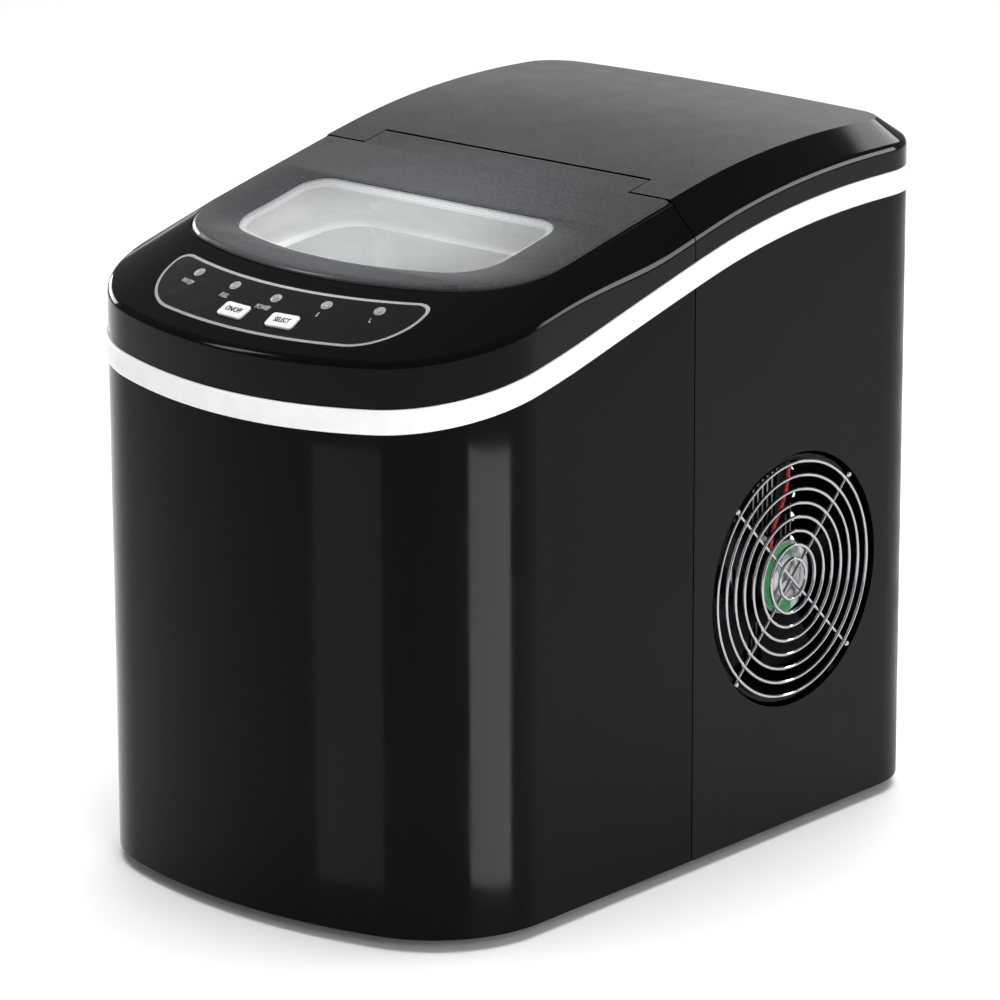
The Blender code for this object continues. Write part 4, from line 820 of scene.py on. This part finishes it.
def control_panel():
    """Crescent overlay with its outline, lamps, keys and marks."""
    lip = LID.inset(-SEAM)

    def spot(station, share, lift=0.0):
        (x0, y0), (x1, y1) = BODY.place(station), lip.place(station)
        low = Vector((x0, y0, fascia_z(y0)))
        high = Vector((x1, y1, lid_z(y1) - step(y1)))
        point = low.lerp(high, share)
        return point + normal(station, share) * lift if lift else point

    def normal(station, share):
        along = spot(station + 0.01, share) - spot(station - 0.01, share)
        up = spot(station, share + 0.01) - spot(station, share - 0.01)
        return along.cross(up).normalized()

    def square(station, share, lift=0.0):
        out = normal(station, share)
        along = spot(station + 0.01, share) - spot(station - 0.01, share)
        along = (along - out * along.dot(out)).normalized()
        turn = Matrix((along, out.cross(along), out)).transposed().to_4x4()
        return Matrix.Translation(spot(station, share, lift)) @ turn

    def crescent(name, grow, lift, look, *nodes):
        """A film over the sloped face; grow is its margin."""
        bm = bmesh.new()
        bmesh.ops.create_grid(bm, x_segments=96, y_segments=16, size=1.0)
        reach, run = 76.6 * MM + grow, 55 * MM
        big, small = 24 * MM + grow, 9 * MM + grow
        for vert in bm.verts:
            x = sin(vert.co.x * pi / 2) * reach
            share = (vert.co.y + 1) / 2
            low = 0.20 - grow / run
            high = 0.83 + grow / run
            past = abs(x) - (reach - big)
            if past > 0:
                low += (big - sqrt(max(big ** 2 - past ** 2, 0))) / run
            past = abs(x) - (reach - small)
            if past > 0:
                high -= (small - sqrt(max(small ** 2 - past ** 2, 0))) / run
            vert.co = spot(x / (75.4 * MM), low + (high - low) * share, lift)
        made = piece(name, bm, look, "housing", *nodes, wall=0.12 * MM, outward=False)
        return made

    crescent("panel_outline", 0.0, 0.14 * MM, INK)
    crescent("panel_film", -1.7 * MM, 0.2 * MM, FILM, "control_panel")
    for i, (name, station) in enumerate((("power_button", -0.19), ("select_button", 0.19))):
        bm = bmesh.new()
        shape = Matrix.Diagonal((15.4 * MM, 8.9 * MM, 1.35 * MM, 1.0))
        bmesh.ops.create_cube(bm, size=1.0, matrix=shape)
        upright = [e for e in bm.edges
                   if abs((e.verts[0].co - e.verts[1].co).normalized().z) > 0.9]
        soften(bm, upright, 1.8 * MM, 6)
        top = [e for e in sharp(bm, 60) if min(v.co.z for v in e.verts) > 0]
        soften(bm, top, 0.35 * MM, 3)
        bmesh.ops.transform(bm, verts=bm.verts, matrix=square(station, 0.403, 0.525 * MM))
        piece(name.replace("button", "key"), bm, KEY, "power_key" if i == 0 else "select_key",
              name, outward=False)
        bezel = bmesh.new()
        shape = Matrix.Diagonal((16.6 * MM, 10.1 * MM, 0.5 * MM, 1.0))
        bmesh.ops.create_cube(bezel, size=1.0, matrix=shape)
        upright = [e for e in bezel.edges
                   if abs((e.verts[0].co - e.verts[1].co).normalized().z) > 0.9]
        soften(bezel, upright, 2.2 * MM, 6)
        bmesh.ops.transform(bezel, verts=bezel.verts, matrix=square(station, 0.403, 0.0))
        piece(name.replace("button", "surround"), bezel, GLOSS, "housing", outward=False)
    for i, station in enumerate((-0.715, -0.36, 0.0, 0.36, 0.715)):
        at = square(station, 0.66 if station == 0 else 0.685)
        lens = lathe([(0, -1 * MM), (2.35 * MM, -1 * MM), (2.35 * MM, 0.25 * MM),
                      (2.0 * MM, 0.5 * MM), (0, 0.6 * MM)], (0, 0, 0), (0, 0, 1), 40)
        bmesh.ops.transform(lens, verts=lens.verts, matrix=at)
        piece(f"lamp_{i + 1}", lens, LENS, "housing", f"status_lens_{i + 1}")
        ring = lathe([(2.35 * MM, 0.1 * MM), (2.75 * MM, 0.1 * MM), (2.75 * MM, 0.42 * MM),
                      (2.35 * MM, 0.42 * MM)], (0, 0, 0), (0, 0, 1), 40)
        bmesh.ops.transform(ring, verts=ring.verts, matrix=at)
        piece(f"lamp_ring_{i + 1}", ring, INK, "housing")
    marks = [("WATER", -0.735, 0.545), ("FULL", -0.37, 0.545), ("POWER", -0.03, 0.525),
             ("S", 0.36, 0.555), ("L", 0.715, 0.555)]
    for i, (word, station, share) in enumerate(marks):
        lettering(f"mark_{i + 1}", word, 3.3 * MM, square(station, share, 0.22 * MM), INK,
                  "housing")
    for name, station, body in (("on_mark", -0.19, "power_key"), ("set_mark", 0.19, "select_key")):
        word = "ON/OFF" if name == "on_mark" else "SELECT"
        lettering(name, word, 3.6 * MM, square(station, 0.403, 1.23 * MM), SATIN, body)


def lettering(name, word, height, place, look, body):
    """Generic function marks, printed thin."""
    text = bpy.data.curves.new(name, "FONT")
    text.body, text.size = word, height
    text.align_x, text.align_y = "CENTER", "CENTER"
    text.extrude, text.offset = 0.02 * MM, 0.12 * MM
    text.space_character = 0.95
    carrier = bpy.data.objects.new(name + "_text", text)
    bpy.context.scene.collection.objects.link(carrier)
    mesh = bpy.data.meshes.new_from_object(
        carrier.evaluated_get(bpy.context.evaluated_depsgraph_get()))
    bpy.data.objects.remove(carrier, do_unlink=True)
    bm = bmesh.new()
    bm.from_mesh(mesh)
    bmesh.ops.scale(bm, verts=bm.verts, vec=(0.78, 1.15, 1))
    bmesh.ops.transform(bm, verts=bm.verts, matrix=place)
    piece(name, bm, look, body, outward=False)


# ---------------------------------------------------------------- lid
def lid():
    """Lid plate with its rear tongue, knuckle, inner rib and window opening."""
    bm = bmesh.new()
    flat(bm, LID, -LID_THICK, 0)
    shoulder, back = -1.0 * MM, HINGE_Y + 1.2 * MM
    for place, normal in (((0, shoulder, 0), (0, 1, 0)), ((TONGUE, 0, 0), (1, 0, 0)),
                          ((-TONGUE, 0, 0), (1, 0, 0)), ((0, back, 0), (0, 1, 0))):
        slice_off(bm, place, normal, clear=False)
    gone = [f for f in bm.faces if f.calc_center_median().y > back
            or (f.calc_center_median().y > shoulder
                and abs(f.calc_center_median().x) > TONGUE)]
    bmesh.ops.delete(bm, geom=gone, context="FACES")
    bmesh.ops.holes_fill(bm, edges=[e for e in bm.edges if len(e.link_faces) == 1])
    bmesh.ops.dissolve_limit(bm, angle_limit=radians(0.5), verts=bm.verts, edges=bm.edges)
    rim = [e for e in sharp(bm, 60) if min(v.co.z for v in e.verts) > -0.1 * MM]
    soften(bm, rim, 2.2 * MM, 5)
    opening = cutter(flat(bmesh.new(), WINDOW, -20 * MM, 20 * MM))
    plate = piece("lid_plate", bm, CHARCOAL, "lid", "lid", edge=0.35 * MM, cuts=[opening])
    # The rim's sloped faces take the lighter charcoal: a painted highlight along the lid's edge.
    plate.data.materials.append(EDGE)
    for face in plate.data.polygons:
        outside = face.center.y < WINDOW.front - 3 * MM or abs(face.center.x) > WINDOW.half + 3 * MM
        if 0.2 < face.normal.z < 0.97 and outside:
            face.material_index = 1
    drape(plate, lid_z)

    outside = LID.inset(8.1 * MM)
    rib, _ = skin((outside, over(lid_z, -LID_THICK + 0.4 * MM)),
                  (outside, over(lid_z, -LID_THICK - 3.5 * MM)))
    slice_off(rib, (0, -8 * MM, 0), (0, -1, 0))
    piece("lid_rib_skin", rib, CHARCOAL, "lid", wall=1.2 * MM, edge=0.3 * MM)

    pin_low, pin_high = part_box("hinge_pin_left")
    axis_z = (pin_low[2] + pin_high[2]) / 2
    barrel = lathe([(0, 0), (KNUCKLE - 0.5 * MM, 0), (KNUCKLE, 0.5 * MM),
                    (KNUCKLE, 2 * TONGUE - 0.5 * MM), (KNUCKLE - 0.5 * MM, 2 * TONGUE),
                    (0, 2 * TONGUE)], (-TONGUE, HINGE_Y, axis_z), (1, 0, 0), 48)
    piece("lid_barrel", barrel, CHARCOAL, "lid")

    glass = piece("window_pane", flat(bmesh.new(), WINDOW.inset(GAP), -1.3 * MM, -0.15 * MM),
                  CLEAR, "lid", "lid_window", edge=0.45 * MM, segments=3)
    drape(glass, lid_z)
    rim_out = WINDOW.inset(-1.7 * MM)
    rim, _ = skin((WINDOW.inset(3.5 * MM), over(lid_z, -1.5 * MM)),
                  (rim_out, over(lid_z, -1.5 * MM)), (rim_out, over(lid_z, -LID_THICK)),
                  (WINDOW.inset(3.5 * MM), over(lid_z, -LID_THICK)))
    bmesh.ops.bridge_loops(rim, edges=[e for e in rim.edges if len(e.link_faces) == 1])
    piece("window_flange", rim, CLEAR, "lid")


# ---------------------------------------------------------------- inside the tub
def ice_basket():
    """Lift-out basket: broad white rim and a milky bowl with rounded edges."""
    low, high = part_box("ice_basket")
    rim_z = high[2] - 0.09 * high[1]
    wall = MOUTH.inset(17.5 * MM)
    wall.rear, wall.back_corner = high[1] - 15 * MM, 18 * MM

    def shaped(distance):
        made = Plan(wall.half - distance, wall.front + distance, wall.rear - distance,
                    wall.bulge - distance, wall.corner - distance, wall.back_corner - distance)
        return made

    def rim(depth):
        return lambda x, y: rim_z + 0.09 * y - depth
    flange, foot = shaped(-15 * MM), shaped(6 * MM)
    bm, loops = skin((flange, rim(3.0 * MM)), (flange, rim(0)), (shaped(1.0 * MM), rim(0.4 * MM)),
                     (foot, lambda x, y: low[2] + 1.8 * MM))
    floor = bmesh.ops.contextual_create(bm, geom=loops[3])["faces"]
    soften(bm, [e for f in floor for e in f.edges], 5 * MM, 5)
    soften(bm, loops[2], 2.5 * MM, 4)
    soften(bm, loops[1], 1.2 * MM, 3)
    opening = cutter(box((-66 * MM, wall.rear - 16 * MM, low[2] + 35 * MM),
                         (66 * MM, wall.rear + 5 * MM, rim_z + 0.09 * wall.rear - 5 * MM)))
    made = piece("basket_bowl", bm, BASKET, "basket", "ice_basket", wall=1.6 * MM,
                 edge=0.4 * MM, cuts=[opening])
    made.data.materials.append(WHITE)
    for face in made.data.polygons:
        x, y, z = face.center
        if z > rim_z + 0.09 * y - 3.5 * MM and face.normal.z > -0.2:
            face.material_index = 1


def tub():
    """White liner round the basket."""
    for node, name in (("inner_tub", "liner"),):
        refined(name, node, WHITE, "housing", 0.5 * MM)


# ---------------------------------------------------------------- fan
def fan():
    """Wire guard, motor cap with its label and lead, shroud, motor and rotor."""
    place = Vector((BODY.half - 1.1 * MM, FAN[1], FAN[2]))
    wire = 0.85 * MM
    bm = bmesh.new()
    for i in range(8):
        wire_ring(bm, (55.8 - 6.6 * i) * MM, wire, place, (1, 0, 0))
    for turn in (pi / 4, 3 * pi / 4):
        along = Vector((0, cos(turn), sin(turn)))
        start = place - Vector((wire, 0, 0)) - along * 59.3 * MM
        lathe([(0, 0), (wire, 0.3 * MM), (wire, 118.3 * MM), (0, 118.6 * MM)], start,
              along, 12, bm)
    piece("guard_wires", bm, CHROME, "housing", "fan_guard")
    hooks = bmesh.new()
    for turn in (pi / 4, 3 * pi / 4, 5 * pi / 4, 7 * pi / 4):
        at = place + Vector((0, cos(turn), sin(turn))) * 58.6 * MM
        lathe([(0, -2.4 * MM), (1.2 * MM, -2.2 * MM), (1.5 * MM, -1.2 * MM),
               (1.5 * MM, 0.2 * MM), (1.0 * MM, 0.8 * MM), (0, 1.0 * MM)], at, (1, 0, 0), 20,
              hooks)
    piece("guard_hooks", hooks, CHROME, "housing")

    front = Vector((FAN[0] - 4.2 * MM, FAN[1], FAN[2]))
    cap = lathe([(0, -2.9 * MM), (15.5 * MM, -2.9 * MM), (17.5 * MM, -1.8 * MM),
                 (17.5 * MM, -0.6 * MM), (16.9 * MM, 0), (10.5 * MM, 0), (9.5 * MM, 0.9 * MM),
                 (5 * MM, 1.4 * MM), (0, 1.5 * MM)], front, (1, 0, 0), 72)
    piece("motor_cap", cap, STEEL, "housing")
    label = lathe([(10.8 * MM, 0.02 * MM), (16.7 * MM, 0.02 * MM), (16.7 * MM, 0.12 * MM),
                   (10.8 * MM, 0.12 * MM)], front, (1, 0, 0), 72)
    slice_off(label, (0, FAN[1] + 4 * MM, 0), (0, -1, 0))
    piece("motor_label", label, GREEN, "housing")
    lead = bpy.data.curves.new("lead", "CURVE")
    lead.dimensions, lead.bevel_depth, lead.bevel_resolution = "3D", 1.0 * MM, 4
    path = lead.splines.new("BEZIER")
    route = ((-2.5, -9, 13), (-1.2, -8, 25), (-1.0, -1, 38), (-1.6, 3, 50), (-4.5, 5, 58.5))
    path.bezier_points.add(len(route) - 1)
    for point, offset in zip(path.bezier_points, route):
        point.co = front + Vector(offset) * MM
        point.handle_left_type = point.handle_right_type = "AUTO"
    carrier = bpy.data.objects.new("lead", lead)
    bpy.context.scene.collection.objects.link(carrier)
    mesh = bpy.data.meshes.new_from_object(
        carrier.evaluated_get(bpy.context.evaluated_depsgraph_get()))
    bpy.data.objects.remove(carrier, do_unlink=True)
    wire_mesh = bmesh.new()
    wire_mesh.from_mesh(mesh)
    bmesh.ops.holes_fill(wire_mesh, edges=[e for e in wire_mesh.edges if e.is_boundary])
    piece("motor_lead", wire_mesh, RED, "housing")
    refined("shroud", "fan_shroud", SATIN, "housing", 0.4 * MM)
    refined("motor_can", "fan_motor", STEEL, "housing", 1.0 * MM, 3)
    rotor()


def rotor():
    """Five twisted blades on a hub, moulded in black."""
    low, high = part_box("fan_rotor")
    hub_x = low[0]
    bm = lathe([(0, 0), (13 * MM, 0), (14 * MM, 1 * MM), (14 * MM, 9.5 * MM),
                (12 * MM, 11.6 * MM), (9 * MM, 12 * MM), (8.5 * MM, 11.2 * MM),
                (0, 11.2 * MM)], (hub_x, FAN[1], FAN[2]), (1, 0, 0), 64)
    piece("fan_hub", bm, SATIN, "fan", "fan_rotor")
    blades = bmesh.new()
    for i in range(5):
        fresh = bmesh.ops.create_grid(blades, x_segments=14, y_segments=14, size=1.0)["verts"]
        for vert in fresh:
            out, across = (vert.co.x + 1) / 2, vert.co.y
            radius = (12.5 + (49.5 - 12.5) * out) * MM
            half = radians(22 - 6 * out)
            turn = 2 * pi * i / 5 + across * half
            bow = 0.8 * MM * (1 - across ** 2)
            vert.co = (hub_x + (5.6 + 3.9 * across) * MM + bow,
                       FAN[1] + radius * cos(turn), FAN[2] + radius * sin(turn))
    piece("fan_blades", blades, SATIN, "fan", wall=0.9 * MM, edge=0.25 * MM)


# ---------------------------------------------------------------- everything else
def plain_parts():
    """CAD pieces whose shape is right: edges rounded and finished."""
    for node, look, body, edge in (
            ("base_pan", STEEL, "housing", 0.4), ("evaporator", NICKEL, "housing", 0.6),
            ("evaporator_bracket", STEEL, "housing", 0.4), ("water_tray", WHITE, "tray", 0.4),
            ("ice_shovel", BASKET, "shovel", 0.3), ("tray_motor", SATIN, "housing", 1.5),
            ("compressor", ENAMEL, "housing", 1.0), ("water_pump", SATIN, "housing", 0.8),
            ("mechanism_side_left", WHITE, "housing", 0.4),
            ("mechanism_side_right", WHITE, "housing", 0.4),
            ("ice_sensor_left", SATIN, "housing", 0.8),
            ("ice_sensor_right", SATIN, "housing", 0.8),
            ("power_board", BOARD, "housing", 0.2), ("control_board", BOARD, "housing", 0.2),
            ("condenser", FINS, "housing", 0.3), ("tub_insulation", FOAM, "housing", 1.5),
            ("cord_gland", RUBBER, "housing", 0.3), ("drain_plug", RUBBER, "drain_plug", 0.3),
            ("foot_front_left", RUBBER, "housing", 0.5), ("foot_front_right", RUBBER, "housing", 0.5),
            ("foot_rear_left", RUBBER, "housing", 0.5), ("foot_rear_right", RUBBER, "housing", 0.5)):
        refined(node + "_skin", node, look, body, edge * MM)
    for name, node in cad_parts.items():
        look = None
        if name.startswith(("cover_screw", "hinge_pin")):
            look = STEEL
        elif name.startswith("compressor_mount"):
            look = RUBBER
        elif name.endswith("_tube"):
            look = SILICONE if name.startswith("pump") else COPPER
        if look:
            for slot_at in range(len(node.data.materials)):
                node.material_slots[slot_at].material = look
            if not node.data.materials:
                node.data.materials.append(look)


low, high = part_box("fan_guard")
FAN = (Vector(low) + Vector(high)) / 2

front_shell()
rear_shell()
trim_band()
front_frame()
rear_cover()
control_panel()
lid()
tub()
ice_basket()
fan()
plain_parts()
for tool in cutters:
    bpy.data.objects.remove(tool, do_unlink=True)


# ---------------------------------------------------------------- studio
def studio():
    """Pale floor, soft lights and the camera."""
    floor_mat, tree, shader = finish("pale_floor", "#f4f4f4", 0.6, Specular_IOR_Level=0.2)
    tree.links.new(spread(tree, "#f1f1f1", "#f7f7f7", 3, 2), shader.inputs["Base Color"])
    bm = bmesh.new()
    bmesh.ops.create_grid(bm, x_segments=4, y_segments=4, size=8.0)
    mesh = bpy.data.meshes.new("floor")
    bm.to_mesh(mesh)
    bm.free()
    floor = bpy.data.objects.new("floor", mesh)
    mesh.materials.append(floor_mat)
    bpy.context.scene.collection.objects.link(floor)

    world = bpy.data.worlds.new("studio")
    bpy.context.scene.world = world
    world.use_nodes = True
    world.node_tree.nodes["Background"].inputs["Color"].default_value = linear("#f2f2f2")
    world.node_tree.nodes["Background"].inputs["Strength"].default_value = 0.3

    def lamp(name, place, target, size, power, diffuse=True, glossy=True):
        """A soft rectangular light aimed at a point; it isn't seen itself."""
        data = bpy.data.lights.new(name, "AREA")
        data.shape, data.size, data.size_y, data.energy = "RECTANGLE", size[0], size[1], power
        obj = bpy.data.objects.new(name, data)
        obj.location = place
        obj.rotation_euler = (Vector(target) - Vector(place)).to_track_quat("-Z", "Y").to_euler()
        obj.visible_camera = False
        obj.visible_diffuse, obj.visible_glossy = diffuse, glossy
        bpy.context.scene.collection.objects.link(obj)
    lamp("overhead", (0.0, 0.2, 2.6), (0, 0, 0), (2.6, 2.6), 110, glossy=False)
    lamp("fill", (2.7, -1.5, 1.5), (0, 0, 0.2), (1.6, 1.6), 36, glossy=False)
    lamp("back_left", (-1.9, 2.2, 1.0), (0, 0, 0.3), (2.0, 0.9), 7)
    lamp("back", (-0.5, 2.4, 1.7), (0, 0, 0.3), (1.5, 0.9), 26, diffuse=False)
    lamp("back_right", (1.7, 1.95, 0.85), (0, 0, 0.25), (1.2, 0.9), 45, diffuse=False)
    lamp("left", (-2.3, 0.35, 0.72), (0, 0, 0.25), (1.2, 0.7), 32, diffuse=False)
    lamp("front_left", (-1.5, -1.6, 1.2), (0, -0.1, 0.27), (0.3, 0.9), 9, diffuse=False)
    spot = bpy.data.lights.new("window_lamp", "SPOT")
    spot.energy, spot.spot_size, spot.spot_blend = 36, radians(13.5), 0.35
    spot.shadow_soft_size = 0.04
    above = bpy.data.objects.new("window_lamp", spot)
    above.location = (0.0, WINDOW.front + 0.042, 0.95)
    above.visible_camera = above.visible_glossy = False
    bpy.context.scene.collection.objects.link(above)
    lamp("side_strip", (0.193, -0.135, 0.10), (0.1, -0.135, 0.10), (0.072, 0.215), 0.55,
         diffuse=False)
    lamp("front_strip", (0.045, -0.245, 0.10), (0.045, -0.17, 0.10), (0.06, 0.215), 0.06,
         diffuse=False)

    camera = bpy.data.cameras.new("camera")
    camera.sensor_width, camera.lens = 36.0, 198.71
    camera.clip_end = 50
    eye = bpy.data.objects.new("camera", camera)
    eye.location = (1.62605, -1.85777, 0.87709)
    side, down, roll = radians(41.1465), radians(16.2701), radians(-0.1753)
    eye.rotation_euler = (Matrix.Rotation(side, 3, "Z") @ Matrix.Rotation(pi / 2 - down, 3, "X")
                          @ Matrix.Rotation(roll, 3, "Z")).to_euler()
    bpy.context.scene.collection.objects.link(eye)
    bpy.context.scene.camera = eye
    bpy.context.scene.view_settings.view_transform = "Standard"


studio()
